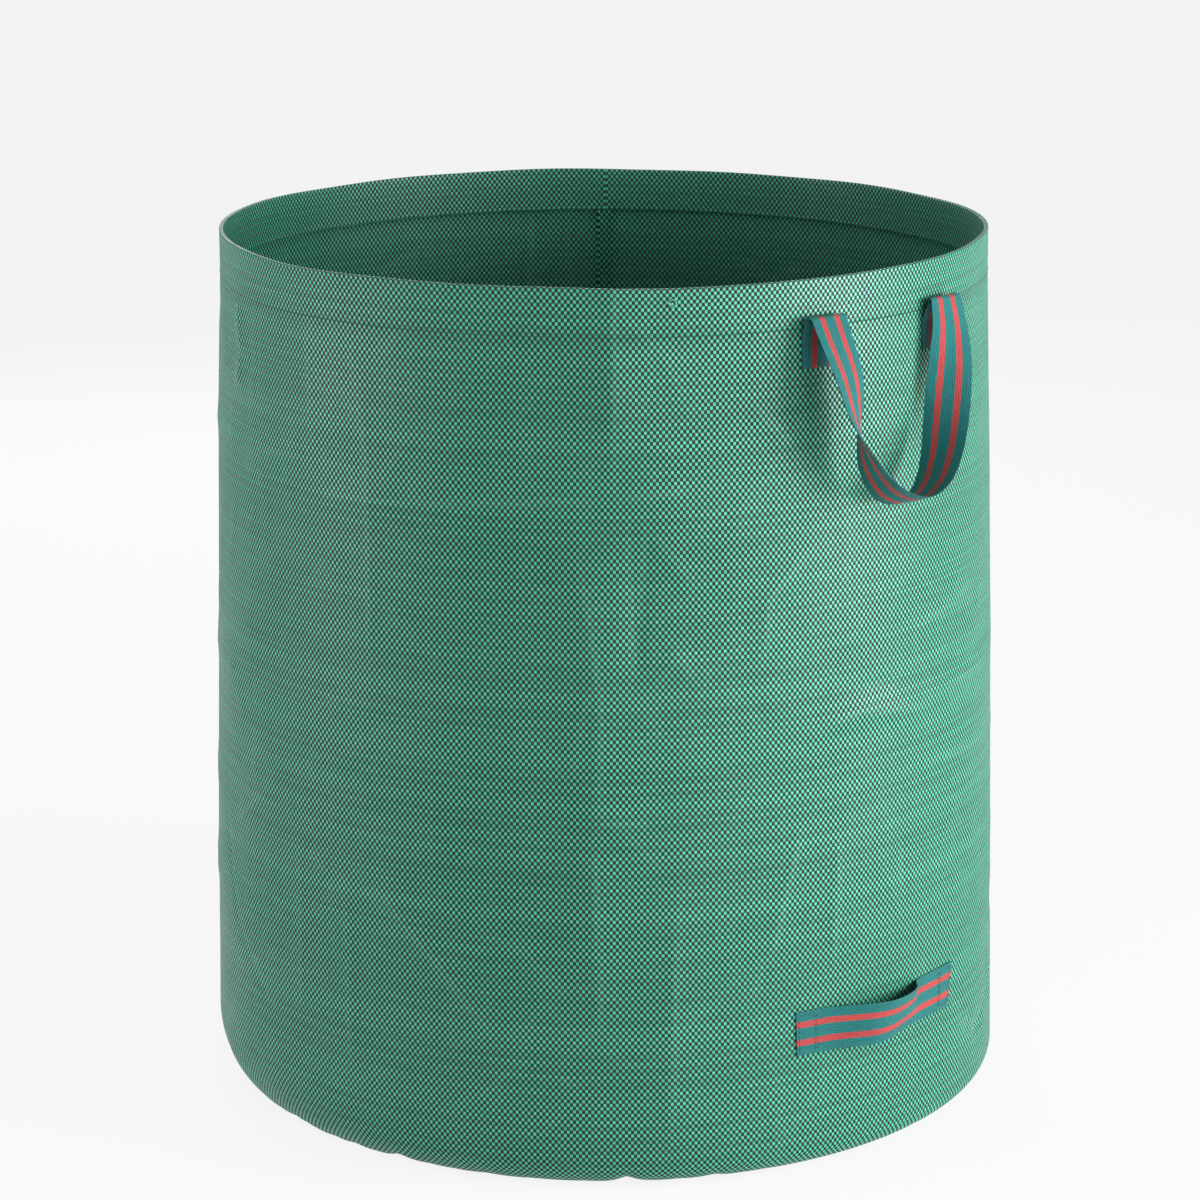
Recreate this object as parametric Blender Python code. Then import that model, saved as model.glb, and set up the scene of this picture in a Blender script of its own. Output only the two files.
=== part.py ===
"""A self-standing garden bag of woven tape cloth, open at the top.

A round cloth wall and a round cloth base are sewn together. The wall's top is turned over a stiff
band, which is lapped and riveted into a hoop and holds the mouth open. Two webbing loops hang from
the rim, and two webbing straps are sewn across the wall near the base. Metres, +Z up, origin at the
middle of the base on the ground, handles at +X (right) and -X (left).
"""

import math

import bmesh
import bpy
from mathutils import Vector

# Driving sizes of the whole bag
BAG_HEIGHT = 0.760
RIM_RADIUS = 0.335
BELLY_RADIUS = 0.352
FOOT_ROUND = 0.030
HEM_DEPTH = 0.040
CLOTH = 0.001
WEBBING_WIDTH = 0.038
WEBBING_THICKNESS = 0.0014
THREAD = 0.0006
GAP = 0.0003

# The hoop's rivet is 34 degrees from the right-hand handle, and every ring has a corner line there.
RIVET_AZIMUTH = math.radians(-34)
RING_STEPS = 96
RING_STEP = math.tau / RING_STEPS

wall_top = BAG_HEIGHT - HEM_DEPTH - GAP


def material(name, red, green, blue, roughness, metallic=0.0):
    made = bpy.data.materials.new(name)
    made.use_nodes = True
    shader = made.node_tree.nodes["Principled BSDF"]
    shader.inputs["Base Color"].default_value = (red, green, blue, 1.0)
    shader.inputs["Roughness"].default_value = roughness
    shader.inputs["Metallic"].default_value = metallic
    made.diffuse_color = (red, green, blue, 1.0)
    return made


def carrier(name, place, parent=None):
    """An empty that stands where a group of pieces is carried or turns."""
    empty = bpy.data.objects.new(name, None)
    bpy.context.scene.collection.objects.link(empty)
    empty.location = place
    if parent:
        empty.parent = parent
    return empty


def loft(name, sections, finish, closed=False):
    """A mesh of one closed body through sections, each a loop of points in the same order."""
    corners = len(sections[0])
    points = [point for section in sections for point in section]
    faces = []
    for span in range(len(sections) if closed else len(sections) - 1):
        here = span * corners
        there = (span + 1) % len(sections) * corners
        for corner in range(corners):
            after = (corner + 1) % corners
            faces.append((here + corner, here + after, there + after, there + corner))
    if not closed:
        faces.append(tuple(range(corners)))
        faces.append(tuple(range(len(points) - corners, len(points))))
    return finished_mesh(name, points, faces, finish)


def finished_mesh(name, points, faces, finish):
    mesh = bpy.data.meshes.new(name)
    mesh.from_pydata(points, [], faces)
    body = bmesh.new()
    body.from_mesh(mesh)
    bmesh.ops.recalc_face_normals(body, faces=body.faces)
    body.to_mesh(mesh)
    body.free()
    mesh.materials.append(finish)
    mesh.shade_smooth()
    mesh.set_sharp_from_angle(angle=math.radians(35))
    return mesh


def piece(name, mesh, parent=None, place=(0, 0, 0), turn=0.0):
    """An object of its own, placed in the bag's frame and carried by its parent."""
    made = bpy.data.objects.new(name, mesh)
    bpy.context.scene.collection.objects.link(made)
    made.location = Vector(place) - (parent.location if parent else Vector())
    made.rotation_euler.z = turn
    if parent:
        made.parent = parent
    return made


def around(radius, angle, height):
    return Vector((radius * math.cos(angle), radius * math.sin(angle), height))


def ring_angle(step):
    return RIVET_AZIMUTH + step * RING_STEP


def inside(radius):
    """The widest that a piece may be inside a flat-sided ring of this radius."""
    return radius * math.cos(RING_STEP / 2) - GAP


def eased(share):
    share = min(max(share, 0.0), 1.0)
    return share * share * (3 - 2 * share)


# The wall: one length of cloth joined into a tube, a little narrower at the rim than at the foot,
# turned in round the foot to meet the base flat on the ground.
FOOT_TURNS = [90, 78, 66, 55, 44, 33, 22, 11, 0]


def wall_radius(height):
    """The outside of the wall between the round of the foot and the hem."""
    share = (height - FOOT_ROUND) / (wall_top - FOOT_ROUND)
    return BELLY_RADIUS + (RIM_RADIUS - BELLY_RADIUS) * share


def foot_point(degrees, inset):
    """A point on the round of the foot, inset from the outside, as radius and height."""
    turn = math.radians(degrees)
    bend = FOOT_ROUND - inset
    return (BELLY_RADIUS - FOOT_ROUND + bend * math.cos(turn), FOOT_ROUND - bend * math.sin(turn))


def wall_line(inset, turns):
    """The wall's line from the foot up to the hem, as radius and height."""
    return [foot_point(turn, inset) for turn in turns] + [(RIM_RADIUS - inset, wall_top)]


def wall_panel(finish):
    profile = wall_line(0.0, FOOT_TURNS) + wall_line(CLOTH, FOOT_TURNS)[::-1]
    sections = [[around(radius, ring_angle(step), height) for radius, height in profile]
                for step in range(RING_STEPS)]
    return loft("wall_panel", sections, finish, closed=True)


# The side seam: the two edges of the wall's cloth, sewn together and laid flat against the inside.
SIDE_SEAM_AZIMUTH = math.radians(137)
SIDE_SEAM_WIDTH = 0.014
SIDE_SEAM_TURNS = [44, 33, 22, 11, 0]


def side_seam(finish):
    outer = [(inside(radius), height) for radius, height in wall_line(CLOTH, SIDE_SEAM_TURNS)]
    profile = outer + [(radius - 2 * CLOTH, height) for radius, height in outer[::-1]]
    half_turn = SIDE_SEAM_WIDTH / RIM_RADIUS / 2
    sections = [[around(radius, SIDE_SEAM_AZIMUTH + side * half_turn, height)
                 for radius, height in profile] for side in (-1, 0, 1)]
    return loft("side_seam", sections, finish)


def side_seam_thread(finish):
    """The line of stitches down the middle of the side seam, on its inner face."""
    inset = 2 * CLOTH + GAP
    outer = [(inside(radius) - inset, height)
             for radius, height in wall_line(CLOTH, SIDE_SEAM_TURNS)]
    profile = outer + [(radius - THREAD, height) for radius, height in outer[::-1]]
    half_turn = THREAD / RIM_RADIUS / 2
    sections = [[around(radius, SIDE_SEAM_AZIMUTH + side * half_turn, height)
                 for radius, height in profile] for side in (-1, 1)]
    return loft("side_seam_thread", sections, finish)


# The base: a flat round of the same cloth that the bag stands on.
def base_radius():
    return foot_point(FOOT_TURNS[0], CLOTH)[0] - GAP


def base_panel(finish):
    rim = [around(base_radius(), ring_angle(step), 0.0) for step in range(RING_STEPS)]
    top = [point + Vector((0, 0, CLOTH)) for point in rim]
    return loft("base_panel", [rim, top], finish)


# The base seam: the edges of the wall and the base, sewn together and standing up inside the bag.
# The wall is eased onto the smaller base, so the edges stand in shallow gathers.
BASE_SEAM_HEIGHT = 0.010
BASE_GATHER_DEPTH = 0.003
BASE_GATHERS = 16
BASE_THREAD_CLEARANCE = 0.0001


def base_gather(step):
    """How far the top of the standing edges leans in at this step round the base."""
    return BASE_GATHER_DEPTH * (1 - math.cos(BASE_GATHERS * step * RING_STEP)) / 2


def base_seam(finish):
    sections = []
    foot = CLOTH + GAP
    for step in range(RING_STEPS):
        angle = ring_angle(step)
        gather = base_gather(step)
        outer = base_radius() - GAP
        sections.append([
            around(outer, angle, foot),
            around(outer - gather, angle, foot + BASE_SEAM_HEIGHT),
            around(outer - gather - 2 * CLOTH, angle, foot + BASE_SEAM_HEIGHT),
            around(outer - 2 * CLOTH, angle, foot),
        ])
    return loft("base_seam", sections, finish, closed=True)


def base_seam_thread(finish):
    """The line of stitches round the standing edges, half way up their inner face."""
    sections = []
    low = CLOTH + GAP + (BASE_SEAM_HEIGHT - THREAD) / 2
    for step in range(RING_STEPS):
        angle = ring_angle(step)
        outer = base_radius() - 2 * GAP - base_gather(step) / 2 - 2 * CLOTH - BASE_THREAD_CLEARANCE
        sections.append([around(outer, angle, low), around(outer, angle, low + THREAD),
                         around(outer - THREAD, angle, low + THREAD),
                         around(outer - THREAD, angle, low)])
    return loft("base_seam_thread", sections, finish, closed=True)


# The rim band: a flat plastic strip bent into a hoop, with its ends lapped. The end that goes
# under steps in by its own thickness just before the lap.
BAND_THICKNESS = 0.001
BAND_LAP = 0.044
BAND_STEP_IN = 0.060
STITCH_MARGIN = 0.003

lap_steps = max(2, 2 * round(BAND_LAP / (RIM_RADIUS * RING_STEP) / 2))
step_in_steps = max(1, round(BAND_STEP_IN / (RIM_RADIUS * RING_STEP)))


def lap_share(step):
    """How far the hoop has stepped in, from 0 to 1. Steps count from the rivet."""
    past_rivet = (step + RING_STEPS / 2) % RING_STEPS - RING_STEPS / 2
    past_lap = abs(past_rivet) - lap_steps / 2
    return eased(1 - past_lap / step_in_steps)


def rim_band(finish):
    low = BAG_HEIGHT - HEM_DEPTH + STITCH_MARGIN
    high = BAG_HEIGHT - CLOTH - GAP
    sections = []
    first = -lap_steps // 2
    last = RING_STEPS + lap_steps // 2
    for step in range(first, last + 1):
        stepped_in = lap_share(step) if step > RING_STEPS / 2 else 0.0
        outer = RIM_RADIUS - CLOTH - GAP - stepped_in * (BAND_THICKNESS + GAP)
        inner = outer - BAND_THICKNESS
        angle = ring_angle(step)
        sections.append([around(outer, angle, low), around(outer, angle, high),
                         around(inner, angle, high), around(inner, angle, low)])
    return loft("rim_band", sections, finish)


# The hem: the top of the wall's cloth turned in over the band and stitched down below it. Its
# inner side bulges over the lap.
HEM_EDGE = 0.0006


def hem_width(step):
    """From the hem's outside to its inside."""
    return 2 * CLOTH + BAND_THICKNESS + 2 * GAP + lap_share(step) * (BAND_THICKNESS + GAP)


def rim_hem(finish):
    low = BAG_HEIGHT - HEM_DEPTH
    high = BAG_HEIGHT
    sections = []
    for step in range(RING_STEPS):
        outer = RIM_RADIUS
        inner = RIM_RADIUS - hem_width(step)
        profile = [
            (outer, low),
            (outer, high - HEM_EDGE),
            (outer - HEM_EDGE, high),
            (inner + HEM_EDGE, high),
            (inner, high - HEM_EDGE),
            (inner, low),
            (inner + CLOTH, low),
            (inner + CLOTH, high - CLOTH),
            (outer - CLOTH, high - CLOTH),
            (outer - CLOTH, low),
        ]
        sections.append([around(radius, ring_angle(step), height) for radius, height in profile])
    return loft("rim_hem", sections, finish, closed=True)


def rim_thread(finish):
    """The line of stitches that closes the hem, round its outside just above its lower edge."""
    low = BAG_HEIGHT - HEM_DEPTH + STITCH_MARGIN / 2 + GAP
    inner = RIM_RADIUS + GAP
    sections = [[around(inner, ring_angle(step), low), around(inner + THREAD, ring_angle(step), low),
                 around(inner + THREAD, ring_angle(step), low + THREAD),
                 around(inner, ring_angle(step), low + THREAD)] for step in range(RING_STEPS)]
    return loft("rim_thread", sections, finish, closed=True)


# The rivet: a tubular one that goes through the hem and both ends of the band, with a rolled
# flange outside and inside.
RIVET_BORE_RADIUS = 0.0012
RIVET_TUBE_RADIUS = 0.0020
RIVET_FLANGE_RADIUS = 0.0036
RIVET_FLANGE_THICKNESS = 0.0009
RIVET_DROP = 0.0125
RIVET_SIDES = 16
HOLE_OVERRUN = 0.004


def rivet_place():
    return around(RIM_RADIUS, RIVET_AZIMUTH, BAG_HEIGHT - RIVET_DROP)


def rim_rivet(finish):
    """Turned about its own Z axis, with the outside of the hem at zero and outward up."""
    outside = GAP
    inside_face = -hem_width(0) - 2 * GAP
    roll = RIVET_FLANGE_THICKNESS / 3
    profile = [
        (RIVET_BORE_RADIUS, inside_face - RIVET_FLANGE_THICKNESS),
        (RIVET_FLANGE_RADIUS - roll, inside_face - RIVET_FLANGE_THICKNESS),
        (RIVET_FLANGE_RADIUS, inside_face - RIVET_FLANGE_THICKNESS + roll),
        (RIVET_FLANGE_RADIUS, inside_face),
        (RIVET_TUBE_RADIUS, inside_face),
        (RIVET_TUBE_RADIUS, outside),
        (RIVET_FLANGE_RADIUS, outside),
        (RIVET_FLANGE_RADIUS, outside + RIVET_FLANGE_THICKNESS - roll),
        (RIVET_FLANGE_RADIUS - roll, outside + RIVET_FLANGE_THICKNESS),
        (RIVET_BORE_RADIUS + roll, outside + RIVET_FLANGE_THICKNESS),
        (RIVET_BORE_RADIUS, outside + RIVET_FLANGE_THICKNESS - roll),
    ]
    sections = [[around(radius, side * math.tau / RIVET_SIDES, height) for radius, height in profile]
                for side in range(RIVET_SIDES)]
    return loft("rim_rivet", sections, finish, closed=True)


def rivet_hole(piece_to_cut, cutter):
    cut = piece_to_cut.modifiers.new("rivet hole", "BOOLEAN")
    cut.operation = "DIFFERENCE"
    cut.solver = "EXACT"
    cut.object = cutter


def hole_cutter(finish):
    depth = hem_width(0) / 2 + HOLE_OVERRUN
    middle = -hem_width(0) / 2
    sections = [[around(RIVET_TUBE_RADIUS + GAP, side * math.tau / RIVET_SIDES, middle + end * depth)
                 for side in range(RIVET_SIDES)] for end in (-1, 1)]
    cutter = piece("rivet_hole_cutter", loft("rivet_hole_cutter", sections, finish))
    cutter.hide_render = True
    cutter.display_type = "WIRE"
    return cutter


def point_outward(made):
    """Stands a piece that is turned about its own Z on the hem, pointing out of the bag."""
    made.location = rivet_place() - (made.parent.location if made.parent else Vector())
    made.rotation_euler = (0.0, math.radians(90), RIVET_AZIMUTH)


# Webbing: a flat strap, swept along its middle line. Each section is the middle point, the
# direction across the strap and the direction through it.
def webbing_section(middle, across, through):
    half_width = across.normalized() * WEBBING_WIDTH / 2
    half_thickness = through.normalized() * WEBBING_THICKNESS / 2
    return [middle - half_width - half_thickness, middle + half_width - half_thickness,
            middle + half_width + half_thickness, middle - half_width + half_thickness]


def smooth_through(stations, steps):
    """Rows of values on a smooth curve from the second station to the last but one."""
    rows = []
    for index in range(1, len(stations) - 2):
        before, start, end, after = stations[index - 1:index + 3]
        for step in range(steps):
            t = step / steps
            rows.append([
                ((2 * b) + (c - a) * t + (2 * a - 5 * b + 4 * c - d) * t * t
                 + (3 * b - a - 3 * c + d) * t * t * t) / 2
                for a, b, c, d in zip(before, start, end, after)])
    rows.append(list(stations[-2]))
    return rows


def strap_through(name, middles, acrosses, finish):
    """A strap through the middle points, each section square to the way the strap runs."""
    sections = []
    for index, (middle, across) in enumerate(zip(middles, acrosses)):
        ahead = middles[min(index + 1, len(middles) - 1)]
        behind = middles[max(index - 1, 0)]
        along = (ahead - behind).normalized()
        square = (across - along * across.dot(along)).normalized()
        sections.append(webbing_section(middle, square, along.cross(square)))
    return loft(name, sections, finish)


# Each sewn end is held by a box of stitches. The box runs all round the end, inside its edges.
BOX_MARGIN = 0.004
BOX_STEPS = 6


def thread_box(on_strap, half_width, half_length, finish):
    """A rectangle of thread on a strap, where on_strap gives the point at a place and height."""
    corners = [(-1, -1), (1, -1), (1, 1), (-1, 1)]
    sections = []
    for corner, after in zip(corners, corners[1:] + corners[:1]):
        for step in range(BOX_STEPS):
            share = step / BOX_STEPS
            across = corner[0] + (after[0] - corner[0]) * share
            along = corner[1] + (after[1] - corner[1]) * share
            section = []
            for inset, height in ((0, 0), (1, 0), (1, 1), (0, 1)):
                section.append(on_strap(across * (half_width - inset * THREAD),
                                        along * (half_length - inset * THREAD),
                                        GAP + height * THREAD))
            sections.append(section)
    return loft("thread_box", sections, finish, closed=True)


# The upper loops: each end is sewn flat to the wall with its cut edge down, and the strap folds
# over at the top and hangs in front. Each half turns a quarter turn on the way down, so that the
# bottom of the loop lies flat.
LOOP_SPAN = 0.142
LOOP_FOLD_RADIUS = 0.004
LOOP_DROP = 0.146
LOOP_STAND_OFF = 0.0405
LOOP_FOLD_DROP = 0.0295
UPPER_END_LENGTH = 0.034
UPPER_END_STEPS = 3
# Up the sewn end as a share of its length, and how far it has lifted off the wall there.
UPPER_END_LIFT_SHARES = [(0, 0), (0.32, 0), (0.64, 0), (0.8, 0.25), (0.9, 0.6), (1, 1)]
UPPER_END_FLAT_SHARE = 0.64
FOLD_STEPS = 10
FOLD_START_TURN = 225
FOLD_END_TURN = 20
# Along from the middle as a share of half the span, out as a share of the stand-off, down as a
# share of the drop, and the turn of the strap's face in degrees.
LOOP_ROUTE_SHARES = [
    (-0.98, 0.44, 0.205, 7),
    (-0.92, 0.68, 0.450, 23),
    (-0.79, 0.82, 0.740, 54),
    (-0.48, 0.95, 0.945, 82),
    (-0.11, 1.00, 1.000, 91),
    (0.25, 0.93, 0.940, 97),
    (0.58, 0.71, 0.755, 111),
    (0.78, 0.48, 0.515, 132),
    (0.90, 0.30, 0.275, 152),
]

fold_outer_radius = LOOP_FOLD_RADIUS + WEBBING_THICKNESS / 2
upper_hinge_height = BAG_HEIGHT - LOOP_FOLD_DROP - fold_outer_radius
fold_inner_edge = LOOP_SPAN / 2 - WEBBING_WIDTH / 2
upper_fold_back = math.sqrt(RIM_RADIUS ** 2 - fold_inner_edge ** 2) + THREAD + 2 * GAP
upper_hinge_reach = upper_fold_back + fold_outer_radius
# The sewn end's top edge is straight, and lies close under the back of the fold.
upper_end_top_reach = upper_fold_back
under_fold = fold_outer_radius - WEBBING_THICKNESS
upper_end_top = upper_hinge_height - math.sqrt(fold_outer_radius ** 2 - under_fold ** 2) - GAP
upper_end_foot = upper_end_top - UPPER_END_LENGTH


def fold_middles(side):
    """The strap's middle line over the fold, about the hinge, from behind to in front."""
    middles = []
    for step in range(FOLD_STEPS + 1):
        turn = math.radians(FOLD_START_TURN
                            + (FOLD_END_TURN - FOLD_START_TURN) * step / FOLD_STEPS)
        middles.append(Vector((LOOP_FOLD_RADIUS * math.cos(turn), side * LOOP_SPAN / 2,
                               LOOP_FOLD_RADIUS * math.sin(turn))))
    return middles


def face_direction(degrees):
    """Across the strap: along the wall at 0, and towards the wall at 90."""
    turn = math.radians(degrees)
    return Vector((-math.sin(turn), math.cos(turn), 0.0))


def upper_loop(finish):
    left_fold = fold_middles(-1)
    right_fold = fold_middles(1)[::-1]
    end_turn = math.radians(FOLD_END_TURN)
    out_share = math.cos(end_turn) * LOOP_FOLD_RADIUS / LOOP_STAND_OFF
    down_share = -math.sin(end_turn) * LOOP_FOLD_RADIUS / LOOP_DROP
    stations = ([(-1.0, out_share, down_share, 0)] + LOOP_ROUTE_SHARES
                + [(1.0, out_share, down_share, 180)])
    # The strap leaves each fold straight down, so the route goes on evenly behind both ends.
    first = (stations[1][0], 2 * out_share - stations[1][1], 2 * down_share - stations[1][2],
             stations[1][3])
    last = (stations[-2][0], 2 * out_share - stations[-2][1], 2 * down_share - stations[-2][2],
            stations[-2][3])
    stations = [first] + stations + [last]
    middles = []
    acrosses = []
    for along, out, down, turn in smooth_through(stations, 4):
        middles.append(Vector((out * LOOP_STAND_OFF, along * LOOP_SPAN / 2, -down * LOOP_DROP)))
        acrosses.append(face_direction(turn))
    middles = left_fold[:-1] + middles + right_fold[1:]
    acrosses = ([face_direction(0)] * (len(left_fold) - 1) + acrosses
                + [face_direction(180)] * (len(right_fold) - 1))
    return strap_through("upper_loop", middles, acrosses, finish)


def upper_end_point(side, across, height_share, lift, offset):
    """A point of the sewn end: across from its middle line, up it, and out from the wall."""
    height = upper_end_foot + height_share * UPPER_END_LENGTH
    inner = max(wall_radius(height), RIM_RADIUS) + GAP
    along = side * LOOP_SPAN / 2 + across
    on_wall = around(inner + offset, math.asin(along / inner), height)
    return on_wall.lerp(Vector((upper_end_top_reach + offset, along, height)), lift)


def upper_end(side, finish):
    """The sewn end of an upper loop: flat on the wall, lifting off it just under the fold."""
    sections = []
    for height_share, lift in UPPER_END_LIFT_SHARES:
        faces = [[upper_end_point(side, WEBBING_WIDTH / 2 * step / UPPER_END_STEPS, height_share,
                                  lift, offset)
                  for step in range(-UPPER_END_STEPS, UPPER_END_STEPS + 1)]
                 for offset in (0.0, WEBBING_THICKNESS)]
        sections.append(faces[0] + faces[1][::-1])
    return loft("upper_end", sections, finish)


def upper_end_thread(side, finish):
    """The box of stitches on the flat part of an upper loop's sewn end."""
    flat_length = UPPER_END_FLAT_SHARE * UPPER_END_LENGTH
    middle = (BOX_MARGIN + flat_length) / 2 / UPPER_END_LENGTH

    def on_strap(across, up, offset):
        return upper_end_point(side, across, middle + up / UPPER_END_LENGTH, 0.0,
                               WEBBING_THICKNESS + offset)

    return thread_box(on_strap, WEBBING_WIDTH / 2 - BOX_MARGIN, (flat_length - BOX_MARGIN) / 2,
                      finish)


# The lower straps: each is sewn flat across the wall at both ends, and its slack middle stands
# off the wall, leaning out at the top.
LOWER_STRAP_HEIGHT = 0.1245
LOWER_STRAP_SPAN = 0.192
LOWER_SEWN_LENGTH = 0.030
LOWER_STAND_OFF = 0.016
LOWER_FREE_SHARE = 0.60
LOWER_STEPS = 12
# The lean of the strap at even places along its free middle, in degrees.
LOWER_LEANS = [0, 3, 8, 12, 13, 12, 8, 3, 0]

lower_inner = max(wall_radius(LOWER_STRAP_HEIGHT - WEBBING_WIDTH / 2),
                  wall_radius(LOWER_STRAP_HEIGHT + WEBBING_WIDTH / 2)) + GAP
lower_middle = lower_inner + WEBBING_THICKNESS / 2
lower_half_free = LOWER_STRAP_SPAN / 2 - LOWER_SEWN_LENGTH
lower_cut = lower_half_free * LOWER_FREE_SHARE


def lower_reach(along):
    """How far out the slack strap's middle line is, at this place along it."""
    on_wall = math.sqrt(lower_middle ** 2 - along ** 2)
    return on_wall + LOWER_STAND_OFF * (1 - (along / lower_half_free) ** 2)


lower_hinge_reach = lower_reach(lower_cut)


def lower_lean(along):
    place = (along / lower_cut + 1) / 2 * (len(LOWER_LEANS) - 1)
    index = min(int(place), len(LOWER_LEANS) - 2)
    rest = eased(place - index)
    return math.radians(LOWER_LEANS[index] * (1 - rest) + LOWER_LEANS[index + 1] * rest)


def lower_loop(finish):
    """The slack middle of a lower strap, about its hinge line. Its ends are cut across the bag."""
    sections = []
    for step in range(-LOWER_STEPS, LOWER_STEPS + 1):
        along = lower_cut * step / LOWER_STEPS
        lean = lower_lean(along)
        middle = Vector((lower_reach(along) - lower_hinge_reach, along, 0.0))
        across = Vector((math.sin(lean), 0.0, math.cos(lean)))
        through = Vector((math.cos(lean), 0.0, -math.sin(lean)))
        sections.append(webbing_section(middle, across, through))
    return loft("lower_loop", sections, finish)


def lower_end(side, finish):
    """A sewn end of a lower strap: flat on the wall, then lifting away to where the slack begins."""
    upright = Vector((0.0, 0.0, 1.0))
    sections = []
    first = (lower_cut + GAP) * side
    for step in range(5):
        along = first + (side * lower_half_free - first) * step / 5
        middle = Vector((lower_reach(along), along, LOWER_STRAP_HEIGHT))
        sections.append(webbing_section(middle, upright, Vector((1.0, 0.0, 0.0))))
    start_turn = math.asin(lower_half_free / lower_middle)
    sewn_turn = LOWER_SEWN_LENGTH / lower_middle
    for step in range(7):
        angle = side * (start_turn + sewn_turn * step / 6)
        sections.append(webbing_section(around(lower_middle, angle, LOWER_STRAP_HEIGHT), upright,
                                        around(1.0, angle, 0.0)))
    return loft("lower_end", sections, finish)


def lower_end_thread(side, finish):
    """The box of stitches on a lower strap's sewn end."""
    start_turn = math.asin(lower_half_free / lower_middle)
    middle_turn = start_turn + LOWER_SEWN_LENGTH / lower_middle / 2

    def on_strap(across, along, offset):
        return around(lower_middle + WEBBING_THICKNESS / 2 + offset,
                      side * (middle_turn + along / lower_middle), LOWER_STRAP_HEIGHT + across)

    return thread_box(on_strap, WEBBING_WIDTH / 2 - BOX_MARGIN,
                      LOWER_SEWN_LENGTH / 2 - BOX_MARGIN, finish)


def build_bag():
    cloth = material("woven tape cloth", 0.045, 0.24, 0.14, 0.35)
    seam_cloth = material("woven tape cloth edge", 0.035, 0.20, 0.12, 0.45)
    band_plastic = material("white polypropylene strip", 0.80, 0.80, 0.77, 0.45)
    rivet_metal = material("green lacquered rivet", 0.03, 0.30, 0.16, 0.30, 0.6)
    webbing = material("teal webbing", 0.010, 0.20, 0.22, 0.75)
    thread = material("dark green thread", 0.005, 0.06, 0.05, 0.6)

    rim = carrier("rim", (0, 0, BAG_HEIGHT))
    lower_straps = carrier("lower_straps", (0, 0, LOWER_STRAP_HEIGHT))

    piece("base_panel", base_panel(cloth))
    piece("base_seam", base_seam(seam_cloth))
    piece("wall_panel", wall_panel(cloth))
    piece("side_seam", side_seam(seam_cloth))
    piece("base_seam_thread", base_seam_thread(thread))
    piece("side_seam_thread", side_seam_thread(thread))

    hem = piece("rim_hem", rim_hem(cloth), rim)
    piece("rim_thread", rim_thread(thread), rim)
    band = piece("rim_band", rim_band(band_plastic), rim)
    rivet = piece("rim_rivet", rim_rivet(rivet_metal), rim)
    cutter = hole_cutter(rivet_metal)
    point_outward(rivet)
    point_outward(cutter)
    rivet_hole(hem, cutter)
    rivet_hole(band, cutter)

    meshes = {
        "upper_end": [upper_end(side, webbing) for side in (-1, 1)],
        "upper_thread": [upper_end_thread(side, thread) for side in (-1, 1)],
        "lower_end": [lower_end(side, webbing) for side in (-1, 1)],
        "lower_thread": [lower_end_thread(side, thread) for side in (-1, 1)],
    }
    upper_loop_mesh = upper_loop(webbing)
    lower_loop_mesh = lower_loop(webbing)
    for side_name, outward, turn in (("right", 1, 0.0), ("left", -1, math.pi)):
        facing = ("front", "back") if outward > 0 else ("back", "front")
        for kind, pair in meshes.items():
            body = rim if kind.startswith("upper") else lower_straps
            for end_name, mesh in zip(facing, pair):
                piece(f"{side_name}_{kind}_{end_name}", mesh, body, turn=turn)
        upper_hinge = Vector((outward * upper_hinge_reach, 0.0, upper_hinge_height))
        piece(f"{side_name}_upper_loop", upper_loop_mesh, rim, upper_hinge, turn)
        lower_hinge = Vector((outward * lower_hinge_reach, 0.0, LOWER_STRAP_HEIGHT))
        piece(f"{side_name}_lower_loop", lower_loop_mesh, lower_straps, lower_hinge, turn)


for left_over in list(bpy.data.objects):
    bpy.data.objects.remove(left_over)
build_bag()
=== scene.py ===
import math

import bpy
import numpy as np
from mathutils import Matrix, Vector


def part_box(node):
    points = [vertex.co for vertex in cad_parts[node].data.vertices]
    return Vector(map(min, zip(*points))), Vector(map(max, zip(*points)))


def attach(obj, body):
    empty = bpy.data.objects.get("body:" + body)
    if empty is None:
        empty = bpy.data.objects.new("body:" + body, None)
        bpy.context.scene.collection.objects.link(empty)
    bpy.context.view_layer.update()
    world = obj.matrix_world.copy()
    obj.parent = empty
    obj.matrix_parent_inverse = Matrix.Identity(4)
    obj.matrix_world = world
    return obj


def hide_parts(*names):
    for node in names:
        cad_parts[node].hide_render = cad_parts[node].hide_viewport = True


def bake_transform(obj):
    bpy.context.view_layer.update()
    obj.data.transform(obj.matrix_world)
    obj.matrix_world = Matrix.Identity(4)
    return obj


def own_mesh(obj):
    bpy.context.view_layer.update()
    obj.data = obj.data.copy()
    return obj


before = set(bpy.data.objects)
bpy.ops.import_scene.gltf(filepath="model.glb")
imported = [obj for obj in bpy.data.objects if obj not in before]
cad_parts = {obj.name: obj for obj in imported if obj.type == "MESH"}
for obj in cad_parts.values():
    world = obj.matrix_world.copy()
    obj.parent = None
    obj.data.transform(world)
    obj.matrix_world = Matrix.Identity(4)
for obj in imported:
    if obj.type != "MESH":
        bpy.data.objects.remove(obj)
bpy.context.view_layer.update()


# Camera
# The bag is seen from between its front and its right-hand handles, from a little above the rim,
# through a long lens, as the photograph shows it. Sizes here are metres, degrees and millimetres.
VIEW_AZIMUTH = 47.0
VIEW_DISTANCE = 3.367
VIEW_HEIGHT = 1.284
VIEW_PITCH = 14.4
VIEW_YAW = 0.081
LENS_MM = 116.55
SENSOR_MM = 36.0


def put_in_scene(name, data):
    """An object of that name around a mesh, a lamp or a camera."""
    made = bpy.data.objects.new(name, data)
    bpy.context.scene.collection.objects.link(made)
    return made


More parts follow.
